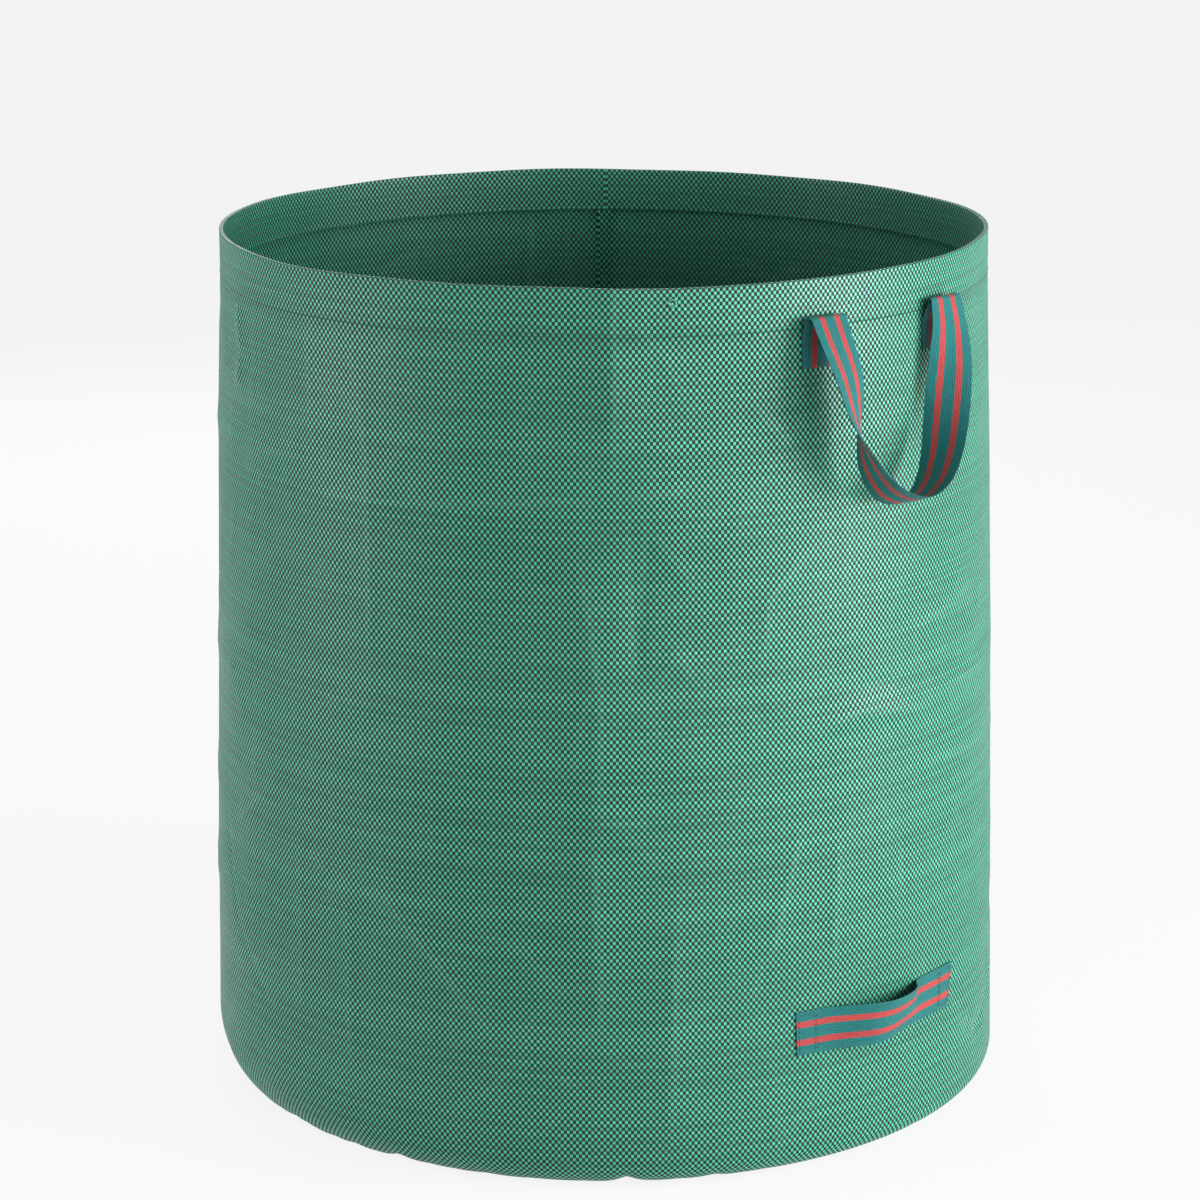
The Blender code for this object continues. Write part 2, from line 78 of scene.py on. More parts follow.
camera = put_in_scene("camera", bpy.data.cameras.new("camera"))
camera.data.lens = LENS_MM
camera.data.sensor_width = SENSOR_MM
view_turn = math.radians(VIEW_AZIMUTH)
camera.location = (VIEW_DISTANCE * math.sin(view_turn), -VIEW_DISTANCE * math.cos(view_turn),
                   VIEW_HEIGHT)
camera.rotation_euler = (math.radians(90 - VIEW_PITCH), 0.0, math.radians(VIEW_AZIMUTH + VIEW_YAW))
bpy.context.scene.camera = camera


# Wall
# One length of laminated polypropylene tape cloth, woven of flat green and black tapes, joined into
# a tube. It is a little wider at the foot, where it is gathered onto the round base, and it keeps
# the creases that it was packed with and those that use has given it.
HEM_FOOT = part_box("rim_hem")[0].z
HEM_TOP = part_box("rim_hem")[1].z
RIM_RADIUS = 0.335
BELLY_RADIUS = 0.352
BELLY_HEIGHT = 0.030
SEAM_RADIUS = 0.3222
CLOTH_THICKNESS = 0.0006
# The rim's own shape fades out over this height below it. The creases and the slow waves of the
# wall fade in over this length of cloth, up from the foot's seam.
RIM_SHAPE_REACH = 0.36
FOOT_FADE = 0.06
BELLY_WAVE = 0.0016
# The hem holds the creases down by this share, from this far below it.
HEM_HOLD = 0.55
HEM_HOLD_REACH = 0.012
# How round a crease's ridge is, how wide the tape whitens along it, with a painted highlight
# of the ridge, and the rise of a crease that whitens it fully.
CREASE_ROUNDING = 0.0012
WHITENED_HIGHLIT_WIDTH = 0.0022
SHARP_RISE = 0.0012
TAPE_WIDTH = 0.0025
TAPE_HEIGHT = 0.0030
SIDE_SEAM_AZIMUTH = 137.0
METRES_PER_DEGREE = math.radians(1) * 0.345
WALL_COLUMNS = 600
WALL_ROWS = 190
FOOT_ROWS = 16
# Where the wall's top turns in behind the hem: above the hem's foot, and in from the outside. The
# wall's even rows end a little below it.
TUCK_ROW = 0.0040
WALL_TUCK = [(-0.0040, 0.0), (-0.0012, 0.0), (-0.0003, 0.0002), (0.0003, 0.0009),
             (0.0026, 0.0011)]

# How far the rim stands out of a true circle, round the bag: degrees, millimetres.
RIM_SHAPE = [(-180, 1), (-150, 3), (-133, 1), (-111, 0), (-95, 6), (-80, 6), (-68, 5), (-55, 0),
             (-44, 1), (-33, 4), (-17, 1), (-6, -3), (8, -1), (18, -5), (30, -6), (40, -4), (48, 0),
             (60, 2), (70, 0), (80, -2), (100, 1), (125, -2), (150, 2)]
# How high the round of the foot reaches, round the bag: degrees, millimetres.
FOOT_SHAPE = [(-180, 36), (-150, 44), (-125, 54), (-105, 54), (-90, 46), (-75, 38), (-55, 31),
              (-35, 27), (-15, 22), (10, 20), (30, 20), (50, 24), (80, 30), (110, 34), (150, 34)]
# The creases that the photograph shows: points (degrees, height), half width and rise. A crease
# with a rise below zero is pushed in.
SEEN_CREASES = [
    ([(-41.8, 0.900), (-41.8, 0.591)], 0.075, 0.0062),
    ([(-41.8, 0.591), (-31.5, 0.594)], 0.022, 0.0012),
    ([(-91.4, 0.571), (-42.1, 0.589)], 0.030, 0.0011),
    ([(-47.1, 0.552), (-44.8, 0.474), (-43.7, 0.424), (-44.0, 0.289)], 0.055, 0.0034),
    ([(-40.0, 0.581), (-39.1, 0.432)], 0.016, -0.0009),
    ([(-37.2, 0.580), (-39.1, 0.432)], 0.016, -0.0009),
    ([(-37.0, 0.564), (-30.1, 0.513)], 0.020, 0.0010),
    ([(-34.2, 0.473), (-30.1, 0.430)], 0.020, 0.0010),
    ([(-44.8, 0.323), (-37.0, 0.316)], 0.020, 0.0012),
    ([(-44.8, 0.323), (-44.2, 0.272), (-43.5, 0.125)], 0.050, 0.0028),
    ([(-32.8, 0.270), (-33.4, 0.167), (-33.9, 0.023)], 0.045, 0.0020),
    ([(-78.2, 0.255), (-67.8, 0.196), (-56.8, 0.121)], 0.022, 0.0014),
    ([(-89.1, 0.263), (-85.0, 0.247)], 0.020, 0.0010),
    ([(-91.4, 0.286), (-90.9, 0.108)], 0.020, 0.0010),
    ([(-82.1, 0.242), (-80.8, 0.071)], 0.020, 0.0010),
    ([(-116.8, 0.271), (-109.8, 0.165), (-95.0, 0.092)], 0.012, -0.0010),
    ([(-109.8, 0.257), (-97.7, 0.308)], 0.015, 0.0010),
    ([(-89.2, 0.716), (-88.1, 0.604)], 0.020, 0.0010),
    ([(-80.8, 0.713), (-77.9, 0.612), (-77.5, 0.403)], 0.026, 0.0011),
    ([(-100.6, 0.596), (-89.2, 0.601)], 0.020, 0.0010),
    ([(-22.9, 0.666), (-16.1, 0.622)], 0.020, 0.0012),
    ([(-13.7, 0.537), (-19.9, 0.500), (-20.7, 0.442)], 0.020, 0.0012),
    ([(-12.8, 0.385), (-5.0, 0.394), (10.1, 0.381)], 0.022, 0.0018),
    ([(-5.0, 0.416), (1.9, 0.410)], 0.012, -0.0010),
    ([(-19.9, 0.185), (-16.8, 0.260), (-14.5, 0.310)], 0.022, 0.0012),
    ([(-8.6, 0.295), (-9.5, 0.174)], 0.022, 0.0012),
    ([(2.9, 0.277), (3.4, 0.223)], 0.012, -0.0010),
    ([(5.2, 0.452), (23.4, 0.472)], 0.016, 0.0012),
    ([(7.5, 0.389), (32.5, 0.396)], 0.016, 0.0012),
    ([(10.1, 0.332), (32.4, 0.324)], 0.016, 0.0012),
    ([(-49.9, 0.103), (-46.5, 0.090)], 0.012, 0.0010),
    ([(20.0, 0.080), (31.0, 0.052)], 0.018, -0.0022),
    ([(24.0, 0.050), (36.0, 0.090)], 0.016, -0.0018),
    ([(33.0, 0.120), (37.0, 0.060)], 0.014, 0.0014),
    ([(-110.5, 0.712), (-108.0, 0.672)], 0.020, 0.0026),
    ([(-108.0, 0.672), (-110.0, 0.640)], 0.020, 0.0026),
    ([(-108.0, 0.672), (-104.5, 0.668)], 0.012, 0.0009),
]
# The deep tucks of the foot seam: degrees, depth, half width in degrees, reach up the cloth.
FOOT_TUCKS = [(-95.8, 0.0050, 1.2, 0.030), (-74.6, 0.0055, 1.2, 0.034), (-40.0, 0.0080, 1.0, 0.040),
              (-27.2, 0.0050, 1.1, 0.030), (8.0, 0.0040, 1.2, 0.030), (61.0, 0.0060, 1.2, 0.034),
              (104.0, 0.0050, 1.2, 0.032), (158.0, 0.0060, 1.1, 0.036),
              (-151.0, 0.0050, 1.2, 0.032)]
chance = np.random.default_rng(41)


def round_table(table, spread):
    """A smooth ring of metres, one for each degree, through a table of degrees and millimetres."""
    degrees = np.arange(-180, 180)
    rough = np.interp(degrees, [row[0] for row in table], [row[1] for row in table], period=360)
    reach = np.arange(-30, 31)
    kernel = np.exp(-(reach / spread) ** 2 / 2)
    padded = np.concatenate([rough[-30:], rough, rough[:30]])
    return np.convolve(padded, kernel / kernel.sum(), "valid") / 1000


def from_ring(ring, azimuth):
    return np.interp(azimuth, np.arange(-180, 180), ring, period=360)


rim_ring = round_table(RIM_SHAPE, 5.0)
foot_ring = round_table(FOOT_SHAPE, 8.0)


def packed_creases():
    """The smaller creases all over the wall: short, straight and seldom crossing far."""
    creases = []
    for index in range(430):
        azimuth = chance.uniform(-180, 180)
        height = 0.045 + 0.66 * chance.random() ** 1.15
        seen_side = -125 < azimuth < 42
        turn = chance.choice([0.0, 90.0, 45.0, -45.0, 60.0, -60.0]) + chance.normal(0, 13)
        length = chance.uniform(0.025, 0.11)
        half_width = chance.uniform(0.009, 0.024)
        rise = chance.choice([1, 1, -1]) * half_width * chance.uniform(0.022, 0.055)
        bend = chance.normal(0, 0.10) * length
        if seen_side:
            rise *= 0.55
        way = np.array([math.cos(math.radians(turn)), math.sin(math.radians(turn))])
        side = np.array([-way[1], way[0]])
        points = []
        for share in (-0.5, 0.0, 0.5):
            across, up = way * length * share + side * bend * (1 - abs(share) * 2)
            points.append((azimuth + across / METRES_PER_DEGREE, height + up))
        creases.append((points, half_width, rise))
    return creases


def packing_folds():
    """The long folds left where the empty bag was folded flat, on the sides that aren't seen."""
    folds = []
    for azimuth in (52.0, 96.0, 143.0, -168.0, -130.0):
        drift = chance.normal(0, 0.8, 3)
        folds.append(([(azimuth + drift[0], 0.760), (azimuth + drift[1], 0.420),
                       (azimuth + drift[2], 0.070)], 0.060, 0.0019))
    for height in (0.592, 0.388, 0.205):
        for azimuth in range(46, 230, 30):
            drop = chance.normal(0, 0.004, 2)
            folds.append(([(azimuth, height + drop[0]), (azimuth + 27, height + drop[1])], 0.026,
                          0.0013))
    return folds


creases = SEEN_CREASES + packing_folds() + packed_creases()
small_tucks = [(azimuth + chance.normal(0, 1.1), chance.uniform(0.0006, 0.0024),
                chance.uniform(0.8, 1.7), chance.uniform(0.016, 0.034))
               for azimuth in np.arange(-180, 180, 4.6)]


def creased(azimuth, height):
    """How far the creases lift the cloth, and how sharply it is bent, at degrees and metres."""
    lift = np.zeros(azimuth.shape)
    bent = np.zeros(azimuth.shape)
    for points, half_width, rise in creases:
        line = np.array(points, float)
        centre = line[:, 0].mean()
        line[:, 0] = (line[:, 0] - centre) * METRES_PER_DEGREE
        across = ((azimuth - centre + 180) % 360 - 180) * METRES_PER_DEGREE
        near = ((np.abs(across) < np.abs(line[:, 0]).max() + half_width)
                & (height > line[:, 1].min() - half_width)
                & (height < line[:, 1].max() + half_width))
        if not near.any():
            continue
        place = np.column_stack([across[near], height[near]])
        nearest = np.full(len(place), np.inf)
        share = np.zeros(len(place))
        lengths = np.linalg.norm(np.diff(line, axis=0), axis=1)
        run = np.concatenate([[0.0], np.cumsum(lengths)])
        for start, end, length, before in zip(line[:-1], line[1:], lengths, run):
            way = (end - start) / length
            along = np.clip((place - start) @ way, 0, length)
            gap = np.linalg.norm(place - start - along[:, None] * way, axis=1)
            closer = gap < nearest
            nearest[closer] = gap[closer]
            share[closer] = (before + along[closer]) / run[-1]
        rounded = np.hypot(nearest, CREASE_ROUNDING) - CREASE_ROUNDING
        side = np.clip(1 - rounded / half_width, 0, 1)
        fade = np.clip(np.minimum(share, 1 - share) * 4, 0, 1)
        fade = 0.15 + 0.85 * fade * fade * (3 - 2 * fade)
        lift[near] += rise * side * side * fade
        sharp = fade * np.exp(-(nearest / WHITENED_HIGHLIT_WIDTH) ** 2) * min(abs(rise) / SHARP_RISE, 1.0)
        bent[near] = np.maximum(bent[near], sharp)
    return lift, bent


def wall_shape(azimuth, height):
    """How far the wall stands out of its plain shape, and how sharply it is bent there."""
    down = np.clip((HEM_TOP - height) / RIM_SHAPE_REACH, 0, 1)
    lift, bent = creased(azimuth, height)
    stiff = np.clip((height - HEM_FOOT + HEM_HOLD_REACH) / HEM_HOLD_REACH, 0, 1)
    lift = lift * (1 - HEM_HOLD * stiff)
    belly = BELLY_WAVE * np.sin(np.radians(azimuth * 3 + 40)) * np.sin(math.pi * height / HEM_TOP)
    return from_ring(rim_ring, azimuth) * (1 - down) ** 1.6 + lift + belly, bent


def plain_radius(height):
    share = (height - BELLY_HEIGHT) / (HEM_FOOT - BELLY_HEIGHT)
    return BELLY_RADIUS + (RIM_RADIUS - BELLY_RADIUS) * np.minimum(share, 1.0)


def foot_tucks(azimuth, up_cloth):
    """How far the gathers pull the foot in, at degrees and metres up the cloth from its seam."""
    pull = np.zeros(azimuth.shape)
    for centre, depth, half_width, reach in FOOT_TUCKS + small_tucks:
        away = (azimuth - centre + 180) % 360 - 180
        left = np.clip(1 - up_cloth / reach, 0, 1)
        width = half_width * (0.7 + 0.8 * left)
        pull += depth * left ** 1.5 * np.exp(-np.abs(away / width) ** 1.5)
    return pull


def rolled(radius, azimuth, height):
    """Points from radius, degrees and height."""
    turn = np.radians(azimuth)
    return np.stack([radius * np.cos(turn), radius * np.sin(turn), height], axis=-1)


def on_wall(azimuth, height, out=0.0):
    """Points on the outside of the standing wall or hem, or that far out from it."""
    azimuth, height = np.broadcast_arrays(np.asarray(azimuth, float), np.asarray(height, float))
    lift = wall_shape(azimuth, height)[0]
    return rolled(plain_radius(height) + lift + out, azimuth, height)


def shell(name, face, uv, thickness, around=True, middle=False):
    """A closed piece of cloth from the grid of points of its outer face. The rows run along the
    grid's first axis; around joins the last column to the first; middle means that the grid is
    the middle of the piece and not its outer face. The outer face is to the left of a column
    as it goes up the rows."""
    rows, columns = face.shape[:2]
    over = np.gradient(face, axis=1)
    if around:
        over = np.roll(face, -1, axis=1) - np.roll(face, 1, axis=1)
    out = np.cross(over, np.gradient(face, axis=0))
    out /= np.maximum(np.linalg.norm(out, axis=2, keepdims=True), 1e-12)
    depth = np.broadcast_to(thickness, (rows, columns))[..., None]
    outer = face + out * depth / 2 if middle else face
    points = np.concatenate([outer.reshape(-1, 3), (outer - out * depth).reshape(-1, 3)])
    index = np.arange(rows * columns).reshape(rows, columns)
    low, high = index[:-1, :], index[1:, :]
    side = np.arange(columns if around else columns - 1)
    after = (side + 1) % columns
    front = np.stack([low[:, side], low[:, after], high[:, after], high[:, side]], axis=-1)
    shift = rows * columns
    faces = [front.reshape(-1, 4), front[..., ::-1].reshape(-1, 4) + shift]

    def edge(start, end):
        """The narrow faces that join the two sides along an edge."""
        faces.append(np.stack([start, end, end + shift, start + shift], axis=-1))

    edge(index[0, after], index[0, side])
    edge(index[-1, side], index[-1, after])
    if not around:
        edge(index[:-1, 0], index[1:, 0])
        edge(index[1:, -1], index[:-1, -1])
    corners = np.concatenate(faces)
    mesh = bpy.data.meshes.new(name)
    mesh.from_pydata(points.tolist(), [], corners.tolist())
    flat = np.concatenate([uv.reshape(-1, 2)] * 2)[corners]
    if around:
        # The last column's faces run on past the join, and don't run back across the whole cloth.
        length = 2 * uv[:, -1, 0].mean() - uv[:, -2, 0].mean() - uv[:, 0, 0].mean()
        wide = np.ptp(flat[..., 0], axis=1) > abs(length) / 2
        shifted = flat[wide]
        joined = shifted[..., 0] < shifted[..., 0].mean(axis=1, keepdims=True)
        shifted[..., 0] += joined * length
        flat[wide] = shifted
    layer = mesh.uv_layers.new(name="cloth_metres")
    layer.data.foreach_set("uv", flat.astype(np.float32).ravel())
    mesh.shade_smooth()
    mesh.set_sharp_from_angle(angle=math.radians(50))
    return put_in_scene(name, mesh)


def paint(made, name, values):
    """Keeps a value for each point of a shell's two faces, for its material to read."""
    layer = made.data.attributes.new(name, "FLOAT", "POINT")
    layer.data.foreach_set("value", np.concatenate([values.ravel()] * 2).astype(np.float32))


# The grid of the wall: round the foot from its seam, up to the hem, and in behind it.
azimuths = SIDE_SEAM_AZIMUTH - 360 + np.arange(WALL_COLUMNS) * 360 / WALL_COLUMNS
azimuths = (azimuths + 180) % 360 - 180
turns = np.radians(np.linspace(90, 0, FOOT_ROWS))[:, None]
foot_height = from_ring(foot_ring, azimuths)[None, :]
foot_reach = plain_radius(foot_height) - SEAM_RADIUS
radius_rows = [SEAM_RADIUS + foot_reach * np.cos(turns)]
height_rows = [foot_height * (1 - np.sin(turns))]
out_rows = [np.repeat(np.cos(turns), WALL_COLUMNS, axis=1)]
rise = np.linspace(0, 1, WALL_ROWS - FOOT_ROWS - len(WALL_TUCK) + 1)[1:, None]
standing = foot_height + (HEM_FOOT + WALL_TUCK[0][0] - TUCK_ROW - foot_height) * rise
tuck = np.array(WALL_TUCK)
standing = np.concatenate([standing, np.repeat(HEM_FOOT + tuck[:, :1], WALL_COLUMNS, axis=1)])
inset = np.concatenate([np.zeros((len(rise), 1)), tuck[:, 1:]])
radius_rows.append(plain_radius(standing) - inset)
height_rows.append(standing)
out_rows.append(np.ones(standing.shape))
radius = np.concatenate(radius_rows)
height = np.concatenate(height_rows)
outward = np.concatenate(out_rows)
azimuth = np.repeat(azimuths[None, :], len(radius), axis=0)
steps = np.hypot(np.diff(radius, axis=0), np.diff(height, axis=0))
up_cloth = np.concatenate([np.zeros((1, WALL_COLUMNS)), np.cumsum(steps, axis=0)])
lift, bent = wall_shape(azimuth, height)
pull = foot_tucks(azimuth, up_cloth)
lift = lift * np.clip(up_cloth / FOOT_FADE, 0, 1) - pull
sideways = np.where(up_cloth > 0.0, outward, 0.35)
face = rolled(radius + lift * np.maximum(sideways, 0.35), azimuth,
              np.maximum(height - lift * np.sqrt(1 - outward ** 2), 0.0))
around_metres = ((azimuth - SIDE_SEAM_AZIMUTH) % 360) * METRES_PER_DEGREE
# The weave's rows are level at the rim, so they are counted down from the hem.
cloth_uv = np.stack([around_metres, up_cloth - up_cloth[-1:]], axis=-1)
wall = shell("wall_cloth", face, cloth_uv, CLOTH_THICKNESS)
paint(wall, "bent", bent)


def linear(hex_colour):
    """An sRGB hex colour as linear red, green, blue and alpha."""
    levels = [int(hex_colour[place:place + 2], 16) / 255 for place in (1, 3, 5)]
    return [level / 12.92 if level <= 0.04045 else ((level + 0.055) / 1.055) ** 2.4
            for level in levels] + [1.0]


def new_finish(name):
    """A material of that name, and its shader."""
    finish = bpy.data.materials.new(name)
    finish.use_nodes = True
    return finish, finish.node_tree.nodes["Principled BSDF"]


def feed(finish, node, inputs):
    """Gives a node's inputs, by name or in order, their values or the sockets that feed them."""
    named = inputs if isinstance(inputs, dict) else dict(enumerate(inputs))
    for name, value in named.items():
        if isinstance(value, bpy.types.NodeSocket):
            finish.node_tree.links.new(value, node.inputs[name])
        else:
            node.inputs[name].default_value = value


def add_node(finish, kind, inputs=(), **settings):
    """Adds a shader node with its settings and links, and returns its outputs."""
    made = finish.node_tree.nodes.new("ShaderNode" + kind)
    for name, value in settings.items():
        setattr(made, name, value)
    feed(finish, made, inputs)
    return made.outputs


def crossings(finish, across, along, sharpness):
    """How high a weave stands: 1 in the middle of each crossing, down to 0 at its edges. across
    and along count the tapes or yarns."""
    humps = []
    for count in (across, along):
        share = add_node(finish, "Math", [count], operation="FRACT")[0]
        angle = add_node(finish, "Math", [share, math.pi], operation="MULTIPLY")[0]
        humps.append(add_node(finish, "Math", [angle], operation="SINE")[0])
    both = add_node(finish, "Math", humps, operation="MULTIPLY")[0]
    return add_node(finish, "Math", [both, sharpness], operation="POWER")[0]


def blended(finish, first, first_share, second, second_share):
    """Two patterns laid over each other by their shares."""
    parts = [add_node(finish, "Math", [first, first_share], operation="MULTIPLY")[0],
             add_node(finish, "Math", [second, second_share], operation="MULTIPLY")[0]]
    return add_node(finish, "Math", parts, operation="ADD")[0]


def woven_tape_cloth(name, tape_green, deep_green, tape_black, shine):
    """Laminated tape cloth: flat green tapes over and under flat black ones, one by one, which
    gives a small even chequer. The clear film on it gives a soft shine, stronger as shine goes
    up from 0, that turns grey and white where the cloth faces a light or is seen aslant."""
    finish, shader = new_finish(name)
    uv = add_node(finish, "UVMap", uv_map="cloth_metres")["UV"]
    metres = add_node(finish, "SeparateXYZ", [uv])
    # The upright tapes are counted off the side seam, and the level ones off the hem.
    upright = add_node(finish, "Math", [metres["X"], TAPE_WIDTH], operation="DIVIDE")[0]
    level = add_node(finish, "Math", [metres["Y"], TAPE_HEIGHT], operation="DIVIDE")[0]
    upright_tape = add_node(finish, "Math", [upright], operation="FLOOR")[0]
    level_tape = add_node(finish, "Math", [level], operation="FLOOR")[0]
    both = add_node(finish, "Math", [upright_tape, level_tape], operation="ADD")[0]
    over = add_node(finish, "Math", [both, 2.0], operation="FLOORED_MODULO")[0]
    under = add_node(finish, "Math", [1.0, over], operation="SUBTRACT")[0]
    level_tone = add_node(finish, "TexWhiteNoise", {"W": level_tape},
                          noise_dimensions="1D")["Value"]
    upright_tone = add_node(finish, "TexWhiteNoise", {"W": upright_tape},
                            noise_dimensions="1D")["Value"]
    # Each tape's shade drifts along it, over some 60 mm.
    stretched = add_node(finish, "Mapping", {"Vector": uv, "Scale": (16, 330, 1)})[0]
    streak = add_node(finish, "TexNoise", {"Vector": stretched, "Scale": 1.0, "Detail": 2.0},
                      noise_dimensions="2D")["Fac"]
    green = add_node(finish, "Mix", {"Factor": blended(finish, level_tone, 0.42, streak, 0.58),
                                     "A": linear(deep_green), "B": linear(tape_green)},
                     data_type="RGBA")["Result"]
    faded = add_node(finish, "Math", [upright_tone, 0.8], operation="MULTIPLY")[0]
    black = add_node(finish, "Mix", {"Factor": faded, "A": linear(tape_black),
                                     "B": linear("#0C1F1A")}, data_type="RGBA")["Result"]
    chequer = add_node(finish, "Mix", {"Factor": over, "A": black, "B": green},
                       data_type="RGBA")["Result"]
    # A tape rises in the middle of each crossing and goes under the next. The colour is darkened
    # towards each crossing's edges: painted shade where the tapes dip.
    crown = crossings(finish, upright, level, 0.45)
    edge = add_node(finish, "MapRange", {"Value": crown, "From Max": 0.85, "To Min": 0.12})[0]
    shaded = add_node(finish, "Mix", {"Factor": 1.0, "A": chequer, "B": edge}, data_type="RGBA",
                      blend_type="MULTIPLY")["Result"]
    # The tape whitens a little along a sharp crease. The same pale line also stands in for the
    # highlight on the crease's ridge, so it is partly painted highlight.
    bent_here = add_node(finish, "Attribute", attribute_name="bent")["Fac"]
    pale = add_node(finish, "Math", [bent_here, 0.06], operation="MULTIPLY")[0]
    whitened_and_highlit = add_node(finish, "Mix", {"Factor": pale, "A": shaded, "B": linear("#A9D9C6")},
                        data_type="RGBA")["Result"]
    # The green tapes lie flat and shine, in patches of some 100 mm. The black ones are rubbed dull.
    patch = add_node(finish, "TexNoise", {"Vector": uv, "Scale": 9.0, "Detail": 3.0},
                     noise_dimensions="2D")["Fac"]
    rough = add_node(finish, "MapRange", {"Value": patch, "From Min": 0.3, "From Max": 0.7,
                                          "To Min": 0.34, "To Max": 0.44})[0]
    grain = add_node(finish, "TexNoise", {"Vector": uv, "Scale": 900.0, "Detail": 1.0},
                     noise_dimensions="2D")["Fac"]
    bump = add_node(finish, "Bump", {"Height": blended(finish, crown, 1.0, grain, 0.18),
                                     "Strength": 0.6, "Distance": 0.00022})[0]
    feed(finish, shader, {"Base Color": whitened_and_highlit, "Normal": bump, "IOR": 1.49,
                          "Roughness": blended(finish, rough, 1.0, under, 0.42),
                          "Specular IOR Level": shine})
    return finish


tape_cloth = woven_tape_cloth("laminated_woven_tape_cloth", "#54D4B0", "#289F7D", "#020A07", 0.52)
wall.data.materials.append(tape_cloth)
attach(wall, "bag_body")
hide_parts("wall_panel")
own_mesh(wall)


# Base
# A round of the same cloth, 650 mm across, lying on the ground. Use and the tucks of the wall
# leave it with shallow waves towards its edge.
BASE_RINGS = 60
BASE_SPOKES = 600
BASE_RADIUS = 0.3232
BASE_CENTRE = 0.002
BASE_LEVEL = 0.0015
WAVE_RISE = 0.00045
SWELL_RISE = 0.0004
GROUND_GAP = 0.0001

spokes = np.linspace(-180, 180, BASE_SPOKES, endpoint=False)[None, :]
rings = np.linspace(BASE_RADIUS, BASE_CENTRE, BASE_RINGS)[:, None]
waves = (0.9 * np.sin(np.radians(spokes * 9 + 20)) + 0.8 * np.sin(np.radians(spokes * 14 - 50))
         + 0.6 * np.sin(np.radians(spokes * 23 + 10)))
swell = (np.sin(rings * 38 + np.radians(spokes * 2) + 1.0)
         + np.sin(rings * 61 - np.radians(spokes * 3)))
wavy = WAVE_RISE * waves * (rings / BASE_RADIUS) ** 3 + SWELL_RISE * swell
base_height = np.maximum(BASE_LEVEL + wavy * (rings < BASE_RADIUS), CLOTH_THICKNESS + GROUND_GAP)
base_pull = foot_tucks(spokes, np.zeros(spokes.shape)) * (rings / BASE_RADIUS) ** 6
base_points = rolled(rings - base_pull, spokes + 0 * rings, base_height + 0 * spokes)
base = shell("base_cloth", base_points, base_points[..., :2].copy(), CLOTH_THICKNESS)
base.data.materials.append(tape_cloth)
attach(base, "bag_body")
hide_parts("base_panel")


# Base seam
# The raw edges of the wall and the base, sewn together with an overlock stitch and left standing
# 10 mm high inside the bag. The wall is longer than the base's edge, so they stand in waves.
SEAM_COLUMNS = 480
SEAM_FOOT = 0.0022
SEAM_HEIGHT = 0.0098
SEAM_FOOT_RADIUS = 0.3190
SEAM_SWAY = 0.0042
SEAM_FRAY = 0.0003
SEAM_THICKNESS = 0.0013
OVERLOCK_PITCH = 0.0042
OVERLOCK_LENGTH = 0.0064
OVERLOCK_LEAN = 0.30
THREAD = 0.0006

seam_azimuths = np.linspace(-180, 180, SEAM_COLUMNS, endpoint=False)[None, :]
seam_share = np.linspace(0, 1, 6)[:, None]
seam_pull = foot_tucks(seam_azimuths, np.zeros(seam_azimuths.shape))


def seam_wave(azimuth):
    return (0.42 + 0.30 * np.sin(np.radians(azimuth * 16 + 30))
            + 0.18 * np.sin(np.radians(azimuth * 29 - 70))
            + 0.10 * np.sin(np.radians(azimuth * 47)))


def seam_radius(azimuth, share, pull):
    return SEAM_FOOT_RADIUS - pull - SEAM_SWAY * share ** 1.3 * seam_wave(azimuth)


fray = SEAM_FRAY * (np.sin(np.radians(seam_azimuths * 160))
                    + np.sin(np.radians(seam_azimuths * 77)))
seam_face = rolled(seam_radius(seam_azimuths, seam_share, seam_pull),
                   seam_azimuths + 0 * seam_share, SEAM_FOOT + seam_share * (SEAM_HEIGHT + fray))
seam_uv = np.stack([(seam_azimuths + 180) * METRES_PER_DEGREE + 0 * seam_share,
                    TAPE_HEIGHT / 2 + seam_share * SEAM_HEIGHT + 0 * seam_azimuths], axis=-1)
base_edges = shell("base_seam_edges", seam_face, seam_uv, SEAM_THICKNESS, middle=True)
cut_cloth = woven_tape_cloth("cut_edge_of_tape_cloth", "#52CCA9", "#2CA081", "#050E0B", 0.30)
base_edges.data.materials.append(cut_cloth)
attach(base_edges, "bag_body")
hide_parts("base_seam")


def sewing_thread(name, thread_in_shade, light):
    """Twisted polyester sewing thread: two plies wound round each other, which gives a small
    slanting ridge along each stitch and a dull shine."""
    finish, shader = new_finish(name)
    uv = add_node(finish, "UVMap", uv_map="cloth_metres")["UV"]
    slanted = add_node(finish, "Mapping", {"Vector": uv, "Rotation": (0, 0, math.radians(35))})[0]
    # One ply crosses every 0.7 mm.
    plies = add_node(finish, "TexWave", {"Vector": slanted, "Scale": 1 / 0.0007 / 6.3},
                     wave_profile="SIN")["Fac"]
    # The colour darkens in the grooves between the plies: painted shade.
    colour = add_node(finish, "Mix", {"Factor": plies, "A": linear(thread_in_shade), "B": linear(light)},
                      data_type="RGBA")["Result"]
    bump = add_node(finish, "Bump", {"Height": plies, "Strength": 0.5, "Distance": 0.0001})[0]
    feed(finish, shader, {"Base Color": colour, "Normal": bump, "Roughness": 0.55,
                          "Sheen Weight": 0.15})
    return finish


green_thread = sewing_thread("twisted_green_thread", "#0B3A33", "#1D6A5C")


